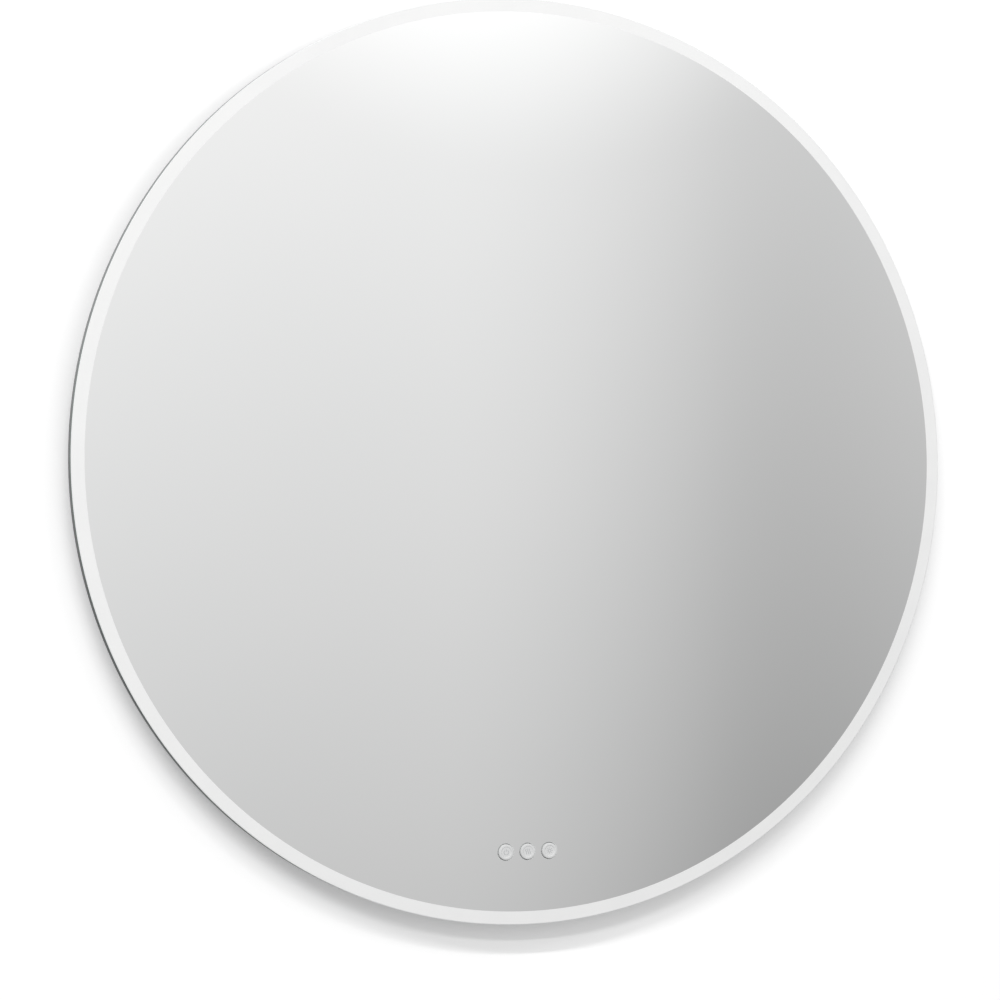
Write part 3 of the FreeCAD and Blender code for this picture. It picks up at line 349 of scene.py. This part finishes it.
# The finish of each solid that keeps its own shape
finishOfNode = {
    "silver_layer": "backPaint",
    "frosted_ring": "frostedBand",
    "diffuser_ring": "opal",
    "chassis_ring": "aluminiumDarkenedForShade",
    "rivet_nuts": "brightSteel",
    "driver_screws": "brightSteel",
    "clamp_screws": "brightSteel",
    "block_screws": "brightSteel",
    "board_screws": "brightSteel",
    "earth_stud": "brassScrew",
    "earth_washer": "brassScrew",
    "earth_nut": "brassScrew",
    "channel_tape": "blackFoam",
    "chassis_tape": "blackFoam",
    "control_tape": "blackFoam",
    "panel_gasket": "blackFoam",
    "lead_bush": "blackRubber",
    "heating_pad": "heaterFilm",
    "led_driver": "whiteCase",
    "board_plug": "whiteCase",
    "led_board_ring": "whiteBoard",
    "led_light_line": "phosphorLine",
    "terminal_block": "greyCase",
    "cord_clamp": "greyCase",
    "control_housing": "darkCase",
    "tact_switches": "darkCase",
    "terminal_screws": "brassScrew",
    "control_board": "solderMask",
    "led_lead": "whiteSheath",
    "supply_lead": "whiteSheath",
    "pad_lead": "whiteSheath",
    "switch_lead": "whiteSheath",
    "earth_lead": "earthSheath",
    "switch_pin_left": "greyCase",
    "switch_pin_middle": "greyCase",
    "switch_pin_right": "greyCase",
}


def dressSolids():
    for name, finish in finishOfNode.items():
        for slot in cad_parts[name].material_slots:
            slot.material = finishes[finish]


# Rounds the corners of a closed outline. Each corner is two places and its radius, in millimetres.
def rounded(corners, steps=5):
    points = []
    for i, (across, along, radius) in enumerate(corners):
        here = Vector((across, along))
        if not radius:
            points.append(tuple(here))
            continue
        back = (Vector(corners[i - 1][:2]) - here).normalized()
        ahead = (Vector(corners[(i + 1) % len(corners)][:2]) - here).normalized()
        half = back.angle(ahead) / 2
        middle = here + (back + ahead).normalized() * (radius / math.sin(half))
        arm = here + back * (radius / math.tan(half)) - middle
        sweep = math.pi - 2 * half
        side = 1 if back.cross(ahead) < 0 else -1
        for k in range(steps + 1):
            angle = side * sweep * k / steps
            points.append((middle.x + arm.x * math.cos(angle) - arm.y * math.sin(angle),
                           middle.y + arm.x * math.sin(angle) + arm.y * math.cos(angle)))
    return points


# A circle of vertices on the plane at that level
def hoop(bm, centre, radius, level, steps):
    across, up = centre
    turns = [2 * math.pi * k / steps for k in range(steps)]
    return [bm.verts.new((across + radius * math.cos(a), level, up + radius * math.sin(a))) for a in turns]


def bridge(bm, first, second, ink=0):
    count = len(first)
    for k in range(count):
        following = (k + 1) % count
        face = bm.faces.new((first[k], first[following], second[following], second[k]))
        face.material_index = ink


# Fills between loops of vertices that lie on one plane
def fill(bm, loops, ink=0):
    edges = []
    for loop in loops:
        for start, end in zip(loop, loop[1:] + loop[:1]):
            edges.append(bm.edges.get((start, end)) or bm.edges.new((start, end)))
    made = bmesh.ops.triangle_fill(bm, use_beauty=True, use_dissolve=False, edges=edges)["geom"]
    for face in made:
        if isinstance(face, bmesh.types.BMFace):
            face.material_index = ink


# Turns an outline of (radius, level) pairs about an axis along Y
def turned(bm, outline, steps, centre=(0, 0), closed=False, inks=None):
    rings = []
    for radius, level in outline:
        if radius == 0:
            rings.append([bm.verts.new((centre[0], level, centre[1]))] * steps)  # a point on the axis
        else:
            rings.append(hoop(bm, centre, radius, level, steps))
    pairs = list(zip(rings, rings[1:]))
    if closed:
        pairs.append((rings[-1], rings[0]))
    for i, (first, second) in enumerate(pairs):
        for k in range(steps):
            following = (k + 1) % steps
            corners = [first[k], first[following], second[following], second[k]]
            corners = [v for j, v in enumerate(corners) if v not in corners[:j]]
            if len(corners) > 2:
                bm.faces.new(corners).material_index = inks[i] if inks else 0
    return rings


def toObject(name, bm, materials, sharp=35):
    bmesh.ops.recalc_face_normals(bm, faces=bm.faces)
    bm.transform(Matrix.Scale(mm, 4))
    mesh = bpy.data.meshes.new(name)
    bm.to_mesh(mesh)
    bm.free()
    for material in materials:
        mesh.materials.append(finishes[material])
    mesh.shade_smooth()
    mesh.set_sharp_from_angle(angle=math.radians(sharp))
    piece = bpy.data.objects.new(name, mesh)
    scene.collection.objects.link(piece)
    return piece


def place(piece, body, slot, *nodes):
    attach(piece, body)
    if nodes:
        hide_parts(*nodes)
    return piece


# The glass disc: the silvering ends where the frosted band starts
glass = {
    "radius": 400,
    "front": -40,
    "back": -35,
    "arris": 0.6,
    "silverRadius": 388.5,
    "buttonHole": 7.3,
    "holeArris": 0.3,
    "steps": 384,
    "holeSteps": 64,
    "finishes": ["silveredGlass", "frostedBand", "polishedEdge", "groundArrisWithHighlight", "backPaint"],
}
buttons = {
    "places": {"left": -20, "middle": 0, "right": 20},
    "height": -337,
}


# Silvered glass with the frosted band round it, the three button holes and ground edges
def makeGlass():
    bm = bmesh.new()
    g = glass
    silver, band, edge, arris, paint = range(5)
    outline = [
        (g["silverRadius"], g["front"]),
        (g["radius"] - g["arris"], g["front"]),
        (g["radius"], g["front"] + g["arris"]),
        (g["radius"], g["back"] - g["arris"]),
        (g["radius"] - g["arris"], g["back"]),
    ]
    rings = turned(bm, outline, g["steps"], inks=[band, arris, edge, arris])
    fronts, backs = [rings[0]], [rings[-1]]
    for across in buttons["places"].values():
        centre = (across, buttons["height"])
        wide = hoop(bm, centre, g["buttonHole"] + g["holeArris"], g["front"], g["holeSteps"])
        mouth = hoop(bm, centre, g["buttonHole"], g["front"] + g["holeArris"], g["holeSteps"])
        rear = hoop(bm, centre, g["buttonHole"], g["back"], g["holeSteps"])
        bridge(bm, wide, mouth, arris)
        bridge(bm, mouth, rear, arris)
        fronts.append(wide)
        backs.append(rear)
    fill(bm, fronts, silver)
    fill(bm, backs, paint)
    place(toObject("mirrorGlass", bm, g["finishes"], sharp=20), "mirror", "silvering", "mirror_glass")


# The metal channel round the back of the glass
channel = {
    "section": [  # radius, level and rounding of each corner
        (400, -35, 0.15), (400, -29, 0.8), (385, -29, 0.8), (385, -32.8, 0.6), (373, -32.8, 0.35),
        (373, -34, 0.2), (386.2, -34, 0), (386.2, -30.2, 0.3), (398.8, -30.2, 0.3), (398.8, -35, 0.15),
    ],
    "seam": 0.3,  # the joint at the foot, where the rolled ring closes
    "cornerSteps": 4,
    "steps": 384,
}


def makeChannel():
    bm = bmesh.new()
    outline = rounded(channel["section"], channel["cornerSteps"])
    gap = channel["seam"] / glass["radius"]
    start = -math.pi / 2 + gap / 2
    steps = channel["steps"]
    turns = [start + (2 * math.pi - gap) * k / steps for k in range(steps + 1)]
    loops = [[bm.verts.new((r * math.cos(a), y, r * math.sin(a))) for r, y in outline] for a in turns]
    for first, second in zip(loops, loops[1:]):
        bridge(bm, first, second)
    for end in (loops[0], loops[-1]):
        bm.faces.new(end)
    place(toObject("edgeChannel", bm, ["aluminiumDarkenedForShade"]), "mirror", "satin_aluminium", "edge_channel")


# The back panel, its screws and the rivets of its rail
panel = {
    "section": [  # round the flat middle, with the stiffening bead
        (270, -10, 0), (281, -10, 2.5), (283.2, -11.5, 1.2), (288.8, -11.5, 1.2), (291, -10, 2.5),
        (352, -10, 0.5), (352, -11.2, 0.3), (291, -11.2, 1.2), (288.8, -12.7, 2.5), (283.2, -12.7, 2.5),
        (281, -11.2, 1.2), (270, -11.2, 0),
    ],
    "holes": [  # across, up and radius
        (60, 0, 6.05), (-215, 0, 1.55), (-55, 0, 1.55), (38, -10.5, 1.55), (38, 10.5, 1.55),
        (-10, -5, 1.55), (-10, 5, 1.55), (-10, -46, 2.05),
    ],
    "steps": 256,
    "holeSteps": 32,
}
panelScrew = {
    "count": 12,
    "ring": 343,
    "section": [  # radius and level, from the tip to the top of the head
        (0, -18), (1.5, -18), (2, -17.5), (2, -10), (3.9, -10), (4, -9.85), (3.95, -8.9), (3.6, -8.25),
        (3.0, -7.92), (2.6, -7.8),
    ],
    "top": -7.8,
    "crossReach": 2.0,
    "crossHalf": 0.42,
    "crossDeep": 1.1,
    "floorReach": 0.55,  # shares of the cross that are left at the recess's floor
    "floorHalf": 0.7,
    "turn": 0.7,  # radians from one screw's cross to the next one's, as a hand leaves them
    "steps": 40,
}
rivet = {
    "count": 6,
    "row": 148,
    "pitch": 52,
    "section": [  # radius and level: dome, shank and the set end
        (0, -7.1), (1.0, -7.1), (1.15, -6.6), (1.4, -6.5), (2.4, -6.65), (3.3, -7.05), (3.85, -7.6),
        (4, -8), (2, -8), (2, -11.2), (3.9, -11.2), (3.75, -11.9), (3.2, -12.5), (2.4, -12.7),
        (0, -12.7),
    ],
    "steps": 36,
}


def makePanel():
    bm = bmesh.new()
    rings = turned(bm, rounded(panel["section"]), panel["steps"])
    back, front = [rings[0]], [rings[-1]]
    levels = (panel["section"][0][1], panel["section"][-1][1])
    for across, up, radius in panel["holes"]:
        rear = hoop(bm, (across, up), radius, levels[0], panel["holeSteps"])
        inside = hoop(bm, (across, up), radius, levels[1], panel["holeSteps"])
        bridge(bm, rear, inside)
        back.append(rear)
        front.append(inside)
    fill(bm, back)
    fill(bm, front)
    place(toObject("backPanel", bm, ["powderCoat"]), "mirror", "painted_sheet", "back_panel")


# The corners of a cross, as a screwdriver's recess has them
def crossLoop(bm, centre, reach, half, level, turn):
    corners = []
    for k in range(4):
        for along, across in ((half, -half), (reach, -half), (reach, half)):
            angle = turn + k * math.pi / 2
            corners.append((along * math.cos(angle) - across * math.sin(angle),
                            along * math.sin(angle) + across * math.cos(angle)))
    return [bm.verts.new((centre[0] + x, level, centre[1] + z)) for x, z in corners]


def makePanelScrews():
    bm = bmesh.new()
    s = panelScrew
    for i in range(s["count"]):
        angle = (i + 0.5) * 2 * math.pi / s["count"]
        centre = (s["ring"] * math.cos(angle), s["ring"] * math.sin(angle))
        rings = turned(bm, s["section"], s["steps"], centre)
        drive = i * s["turn"]
        reach, half = s["crossReach"], s["crossHalf"]
        narrowReach, narrowHalf = reach * s["floorReach"], half * s["floorHalf"]
        mouth = crossLoop(bm, centre, reach, half, s["top"], drive)
        floor = crossLoop(bm, centre, narrowReach, narrowHalf, s["top"] - s["crossDeep"], drive)
        bridge(bm, mouth, floor)
        fill(bm, [rings[-1], mouth])
        bm.faces.new(floor)
    place(toObject("panelScrews", bm, ["brightSteel"], sharp=30), "mirror", "zinc_steel", "panel_screws")


def makeRivets():
    bm = bmesh.new()
    r = rivet
    for i in range(r["count"]):
        across = (i - (r["count"] - 1) / 2) * r["pitch"]
        turned(bm, r["section"], r["steps"], (across, r["row"]))
    place(toObject("railRivets", bm, ["brightSteel"], sharp=50), "mirror", "zinc_steel", "rail_rivets")


# The bracket on the wall and the rail that hangs on it, both bent from sheet
bracket = {
    "halfWidth": 170,
    "section": [  # level, height and rounding of each corner
        (0, -110, 2.6), (0, 110, 2.6), (-5, 110, 0.6), (-5, 128, 0.3), (-7, 128, 0.3), (-7, 108, 2.6),
        (-2, 108, 0.6), (-2, -108, 0.6), (-7, -108, 0.3), (-7, -110, 0.3),
    ],
    "window": (120, 50, 10),  # half width, half height and corner
    "screwHoles": [(-150, -80), (150, -80), (150, 80), (-150, 80)],
    "screwHole": 3.25,
    "holeSteps": 40,
    "cornerSteps": 10,
}
rail = {
    "halfWidth": 150,
    "section": [
        (-10, 160, 0.3), (-8, 160, 0.3), (-8, 130, 0.6), (-2.5, 130, 2.6), (-2.5, 116, 0.3),
        (-4.5, 116, 0.3), (-4.5, 128, 0.6), (-10, 128, 2.6),
    ],
}
longRun = 100  # a run of a section past this length is a flat side, which can hold openings


# A bent sheet, drawn out along X. Its two flat sides get the openings at their levels.
def bentSheet(bm, section, halfWidth, openings=None):
    outline = rounded(section)
    left, right = ([bm.verts.new((side * halfWidth, y, z)) for y, z in outline] for side in (-1, 1))
    count = len(outline)
    for k in range(count):
        following = (k + 1) % count
        corners = [left[k], left[following], right[following], right[k]]
        run = abs(outline[k][1] - outline[following][1])
        if openings and run > longRun:
            fill(bm, [corners] + openings[round(outline[k][0])])
        else:
            bm.faces.new(corners)
    bm.faces.new(left)
    bm.faces.new(right)


def windowLoop(bm, level):
    halfWide, halfTall, corner = bracket["window"]
    ways = [(-1, -1), (1, -1), (1, 1), (-1, 1)]
    outline = rounded([(x * halfWide, z * halfTall, corner) for x, z in ways], bracket["cornerSteps"])
    return [bm.verts.new((x, level, z)) for x, z in outline]


def makeBracket():
    bm = bmesh.new()
    b = bracket
    openings = {0: [], -2: []}  # by level: the wall side and the mirror side
    for level, loops in openings.items():
        loops.append(windowLoop(bm, level))
        loops.extend(hoop(bm, centre, b["screwHole"], level, b["holeSteps"]) for centre in b["screwHoles"])
    for rear, front in zip(openings[0], openings[-2]):
        bridge(bm, rear, front)
    bentSheet(bm, b["section"], b["halfWidth"], openings)
    place(toObject("wallBracket", bm, ["zincPlate"]), "bracket", "zinc_steel", "wall_bracket")


def makeRail():
    bm = bmesh.new()
    bentSheet(bm, rail["section"], rail["halfWidth"])
    place(toObject("hangingRail", bm, ["zincPlate"]), "mirror", "zinc_steel", "hanging_rail")


# Rubber: two bumpers against the wall, and the grommet round the supply's hole
bumper = {
    "places": [(-156, -270.2), (156, -270.2)],
    "section": [(0, -0.8, 0), (7.2, -0.8, 0.5), (7.8, 0, 0.3), (12, 0, 1.6), (12, -10, 0.3), (0, -10, 0)],
    "steps": 72,
}
grommet = {
    "place": (60, 0),
    "section": [
        (4, -13.2, 0.8), (9, -13.2, 0.9), (9, -11.2, 0.3), (6, -11.2, 0), (6, -10, 0), (9, -10, 0.3),
        (9, -8, 0.9), (4, -8, 0.9),
    ],
    "steps": 64,
}


def makeRubber():
    bm = bmesh.new()
    for centre in bumper["places"]:
        turned(bm, rounded(bumper["section"]), bumper["steps"], centre)
    place(toObject("wallBumpers", bm, ["blackRubber"]), "mirror", "black_rubber", "wall_bumpers")
    bm = bmesh.new()
    turned(bm, rounded(grommet["section"]), grommet["steps"], grommet["place"], closed=True)
    place(toObject("mainsGrommet", bm, ["blackRubber"]), "mirror", "black_rubber", "mains_grommet")


# The caps, and the signs that are printed on them
cap = {
    "section": [  # dished face, rim, skirt, flange and the foot that meets the switch
        (0, -41.5, 0), (4.3, -41.5, 0.5), (4.8, -42, 0.3), (6.8, -42, 0.95), (6.8, -32, 0),
        (8.2, -32, 0.15), (8.2, -31, 0.15), (2.5, -31, 0), (2.5, -28.8, 0.2), (0, -28.8, 0),
    ],
    "steps": 72,
}
symbol = {
    "level": -41.5,
    "thick": 0.03,
    "line": 0.5,
    "powerRing": (2.1, -0.2, 125, 415, 28),  # radius, shift down, from and to in degrees, steps
    "powerBar": (0.4, 2.6),  # from and to above the centre
    "heatLines": (-1.7, 0, 1.7),
    "heatSwing": 0.45,
    "heatHalf": 2.2,
    "heatSteps": 30,
    "lightRing": (1.2, 24),  # radius and steps
    "lightRays": (8, 1.95, 2.75),  # count, near end and far end
}


# A flat stroke along points, closed or open, as thick as the print
def stroke(bm, points, closed=False):
    count = len(points)
    half = symbol["line"] / 2
    sides = []
    for k in range(count):
        before = Vector(points[k - 1] if closed or k else points[0])
        after = Vector(points[(k + 1) % count] if closed or k < count - 1 else points[-1])
        run = (after - before).normalized()
        across = Vector((-run.y, run.x)) * half
        here = Vector(points[k])
        corners = []
        for level in (symbol["level"] - symbol["thick"], symbol["level"] + symbol["thick"]):
            for side in (here + across, here - across):
                corners.append(bm.verts.new((side.x, level, side.y)))
        sides.append([corners[0], corners[1], corners[3], corners[2]])
    pairs = list(zip(sides, sides[1:]))
    if closed:
        pairs.append((sides[-1], sides[0]))
    for first, second in pairs:
        bridge(bm, first, second)
    if not closed:
        bm.faces.new(sides[0])
        bm.faces.new(sides[-1])


def arc(centre, radius, start, end, steps):
    turns = [math.radians(start + (end - start) * k / steps) for k in range(steps + 1)]
    return [(centre[0] + radius * math.cos(a), centre[1] + radius * math.sin(a)) for a in turns]


def drawPower(bm, x, z):
    radius, shift, start, end, steps = symbol["powerRing"]
    stroke(bm, arc((x, z + shift), radius, start, end, steps))
    stroke(bm, [(x, z + up) for up in symbol["powerBar"]])


def drawHeat(bm, x, z):
    half, steps = symbol["heatHalf"], symbol["heatSteps"]
    for shift in symbol["heatLines"]:
        points = []
        for k in range(steps + 1):
            swing = symbol["heatSwing"] * math.sin(2 * math.pi * k / steps)
            points.append((x + shift + swing, z - half + 2 * half * k / steps))
        stroke(bm, points)


def drawLight(bm, x, z):
    radius, steps = symbol["lightRing"]
    stroke(bm, arc((x, z), radius, 0, 360, steps)[:-1], closed=True)
    count, *ends = symbol["lightRays"]
    for k in range(count):
        angle = 2 * math.pi * k / count
        stroke(bm, [(x + r * math.cos(angle), z + r * math.sin(angle)) for r in ends])


def makeButtons():
    drawings = {"left": drawPower, "middle": drawHeat, "right": drawLight}
    for side, across in buttons["places"].items():
        body = f"button_{side}"
        bm = bmesh.new()
        turned(bm, rounded(cap["section"]), cap["steps"], (across, buttons["height"]))
        place(toObject(f"{side}Cap", bm, ["capWhite"]), body, "button_white", body)
        bm = bmesh.new()
        drawings[side](bm, across, buttons["height"])
        place(toObject(f"{side}Symbol", bm, ["symbolInk"]), body, "grey_plastic")


# What stands round the mirror, for the light and the picture only
studio = {  # sizes in metres
    "floorLevel": -0.85,
    "coveRadius": 0.25,
    "coveSteps": 16,
    "wallTop": 1.5,
    "halfWidth": 1.8,
    "floorReach": 4.5,
    "plainFrom": 0.5,  # further from the mirror the wall turns into plain white
    "plainPast": 0.8,
    "wallLift": 0.151,  # light added for the camera alone, so that the plain wall is white
    "ambientFront": 0.41,
    "ambientRear": 0.5,
    "ambientTurn": 0.3,  # how far to each side of the wall's plane the one turns into the other
}
lamps = {  # place and aim in metres, width and height in metres, watts
    "keyLow": ((-1.6, -4.0, 1.5), (-1.6, 0, 0), (2.0, 0.14), 33.8),
    "keyHigh": ((-2.35, -4.0, 2.7), (-2.35, 0, 0), (4.1, 0.16), 96.5),
    "frontSoft": ((-0.3, -1.6, 0.0), (0, 0, 0), (0.53, 0.53), 1.81),
    "sideSoft": ((0.6, -1.4, 0.7), (0, 0, 0), (0.44, 0.44), 2.81),
    "wideSoft": ((0.2, -2.2, 0.4), (0, 0, 0), (1.42, 1.42), 4.17),
    "rearLeft": ((-1.7, 2.4, 1.6), (0, 0, 0), (0.7, 0.7), 40),
    "rearRight": ((1.5, 2.6, 1.0), (0, 0, 0), (0.7, 0.7), 30),
}
reflection = {  # the soft studio that glossy rays meet, with its angles in degrees
    "level": 0.722,
    "risePerDegree": 0.0206,
    "riseSpan": 15,
    "turns": {  # each soft step goes from one turn to the other, right of straight out, and adds its tone
        "aheadRise": (18, 6, 0.075),
        "leftFall": (6, -24, -0.22),
        "farLeftRise": (-32, -75, 0.22),
        "rightFall": (19.1, 32, -0.53),
        "rightRise": (24.4, 31.4, 0.37),
        "farRightRise": (33, 75, 0.2),
    },
    "floorRise": (-12, -32, 0.32),  # the same, by tilt
    "glowTurn": 21.1,
    "glowTilt": 15.7,
    "glowSize": 9,
    "glowTone": 0.262,
    "rearTone": -0.5,
    "rearFrom": 0.75,  # how far a ray points backwards, of 1
    "rearPast": 0.97,
    "lowest": 0.05,
}


def makeCove():
    s = studio
    radius, steps = s["coveRadius"], s["coveSteps"]
    outline = [(-s["floorReach"], s["floorLevel"])]
    for k in range(steps + 1):
        angle = math.pi / 2 * k / steps
        outline.append((-radius * (1 - math.sin(angle)), s["floorLevel"] + radius * (1 - math.cos(angle))))
    outline.append((0, s["wallTop"]))
    bm = bmesh.new()
    left, right = ([bm.verts.new((side * s["halfWidth"], y, z)) for y, z in outline] for side in (-1, 1))
    for k in range(len(outline) - 1):
        bm.faces.new((left[k], right[k], right[k + 1], left[k + 1]))
    mesh = bpy.data.meshes.new("cove")
    bm.to_mesh(mesh)
    bm.free()
    mesh.shade_smooth()
    cove = bpy.data.objects.new("cove", mesh)
    scene.collection.objects.link(cove)
    mesh.materials.append(covePaint())
    for way in ("diffuse", "glossy", "transmission", "shadow"):
        setattr(cove, "visible_" + way, False)


# White paint that is seen from the front only, and keeps the shadow
def covePaint():
    material = bpy.data.materials.new("covePaint")
    material.use_nodes = True
    tree = material.node_tree
    tree.nodes.clear()
    paint = addNode(tree, "ShaderNodeBsdfDiffuse", {"Color": (1, 1, 1, 1)}).outputs[0]
    lift = addNode(tree, "ShaderNodeEmission", {"Strength": studio["wallLift"]}).outputs[0]
    lit = addNode(tree, "ShaderNodeAddShader", {0: paint, 1: lift}).outputs[0]
    white = addNode(tree, "ShaderNodeEmission", {"Strength": 1.0}).outputs[0]
    away = addNode(tree, "ShaderNodeTexCoord").outputs["Object"]
    reach = addNode(tree, "ShaderNodeVectorMath", {0: away}, operation="LENGTH").outputs["Value"]
    plain = softStep(tree, reach, studio["plainFrom"], studio["plainPast"])
    faded = addNode(tree, "ShaderNodeMixShader", {0: plain, 1: lit, 2: white}).outputs[0]
    clear = addNode(tree, "ShaderNodeBsdfTransparent").outputs[0]
    behind = addNode(tree, "ShaderNodeNewGeometry").outputs["Backfacing"]
    seen = addNode(tree, "ShaderNodeMixShader", {0: behind, 1: faded, 2: clear}).outputs[0]
    addNode(tree, "ShaderNodeOutputMaterial", {"Surface": seen})
    return material


def makeLamps():
    for name, (spot, aim, size, watts) in lamps.items():
        data = bpy.data.lights.new(name, "AREA")
        data.shape = "RECTANGLE"
        data.size, data.size_y = size
        data.energy = watts
        lamp = bpy.data.objects.new(name, data)
        scene.collection.objects.link(lamp)
        lamp.location = spot
        lamp.rotation_euler = (Vector(aim) - Vector(spot)).to_track_quat("-Z", "Y").to_euler()
        lamp.visible_camera = False
        lamp.visible_glossy = False


# The studio's tone along a glossy ray, by the ray's turn and tilt
def studioTone(tree, way, split):
    r = reflection
    toDegrees = 180 / math.pi
    ahead = maths(tree, "MULTIPLY", split.outputs[1], -1.0)
    turn = maths(tree, "MULTIPLY", maths(tree, "ARCTAN2", split.outputs[0], ahead), toDegrees)
    tilt = maths(tree, "MULTIPLY", maths(tree, "ARCSINE", split.outputs[2]), toDegrees)
    span = r["riseSpan"]
    lowTone = r["level"] - span * r["risePerDegree"]
    highTone = r["level"] + span * r["risePerDegree"]
    rise = {"Value": tilt, "From Min": -span, "From Max": span, "To Min": lowTone, "To Max": highTone}
    tone = addNode(tree, "ShaderNodeMapRange", rise).outputs[0]
    parts = [softStep(tree, turn, start, end, 0, added) for start, end, added in r["turns"].values()]
    start, end, added = r["floorRise"]
    parts.append(softStep(tree, tilt, start, end, 0, added))
    glowTurn, glowTilt = math.radians(r["glowTurn"]), math.radians(r["glowTilt"])
    glowWay = (math.sin(glowTurn) * math.cos(glowTilt), -math.cos(glowTurn) * math.cos(glowTilt),
               math.sin(glowTilt))
    near = addNode(tree, "ShaderNodeVectorMath", {0: way, 1: glowWay}, operation="DOT_PRODUCT")
    glowEdge = math.cos(math.radians(r["glowSize"]))
    parts.append(softStep(tree, near.outputs["Value"], glowEdge, 1.0, 0, r["glowTone"]))
    parts.append(softStep(tree, split.outputs[1], r["rearFrom"], r["rearPast"], 0, r["rearTone"]))
    for part in parts:
        tone = maths(tree, "ADD", tone, part)
    return maths(tree, "MAXIMUM", tone, r["lowest"])


# Plain soft light on the object, a little stronger from the rear
def ambientLevel(tree, backwards):
    half = studio["ambientTurn"]
    sides = {"Value": backwards, "From Min": -half, "From Max": half,
             "To Min": studio["ambientFront"], "To Max": studio["ambientRear"]}
    return addNode(tree, "ShaderNodeMapRange", sides).outputs[0]


def background(tree, strength):
    inputs = {"Color": (1, 1, 1, 1), "Strength": strength}
    return addNode(tree, "ShaderNodeBackground", inputs).outputs[0]


# White for the camera, the graded studio for reflections, and the soft light for the rest
def makeWorld():
    world = bpy.data.worlds.new("studio")
    scene.world = world
    world.use_nodes = True
    world.cycles.sampling_method = "NONE"
    tree = world.node_tree
    tree.nodes.clear()
    way = addNode(tree, "ShaderNodeTexCoord").outputs["Generated"]
    split = addNode(tree, "ShaderNodeSeparateXYZ", {0: way})
    graded = background(tree, studioTone(tree, way, split))
    soft = background(tree, ambientLevel(tree, split.outputs[1]))
    white = background(tree, 1.0)
    ray = addNode(tree, "ShaderNodeLightPath")
    bright = maths(tree, "MAXIMUM", ray.outputs["Is Glossy Ray"], ray.outputs["Is Transmission Ray"])
    unseen = addNode(tree, "ShaderNodeMixShader", {0: bright, 1: soft, 2: graded}).outputs[0]
    direct = ray.outputs["Is Camera Ray"]
    whole = addNode(tree, "ShaderNodeMixShader", {0: direct, 1: unseen, 2: white}).outputs[0]
    addNode(tree, "ShaderNodeOutputWorld", {"Surface": whole})


makeCamera()
dressSolids()
print("solids dressed")
makeGlass()
makeChannel()
makePanel()
makePanelScrews()
makeRivets()
print("casing made")
makeBracket()
makeRail()
makeRubber()
print("hanging made")
makeButtons()
print("buttons made")
makeCove()
makeLamps()
makeWorld()
scene.view_settings.view_transform = "Standard"
print("studio made")
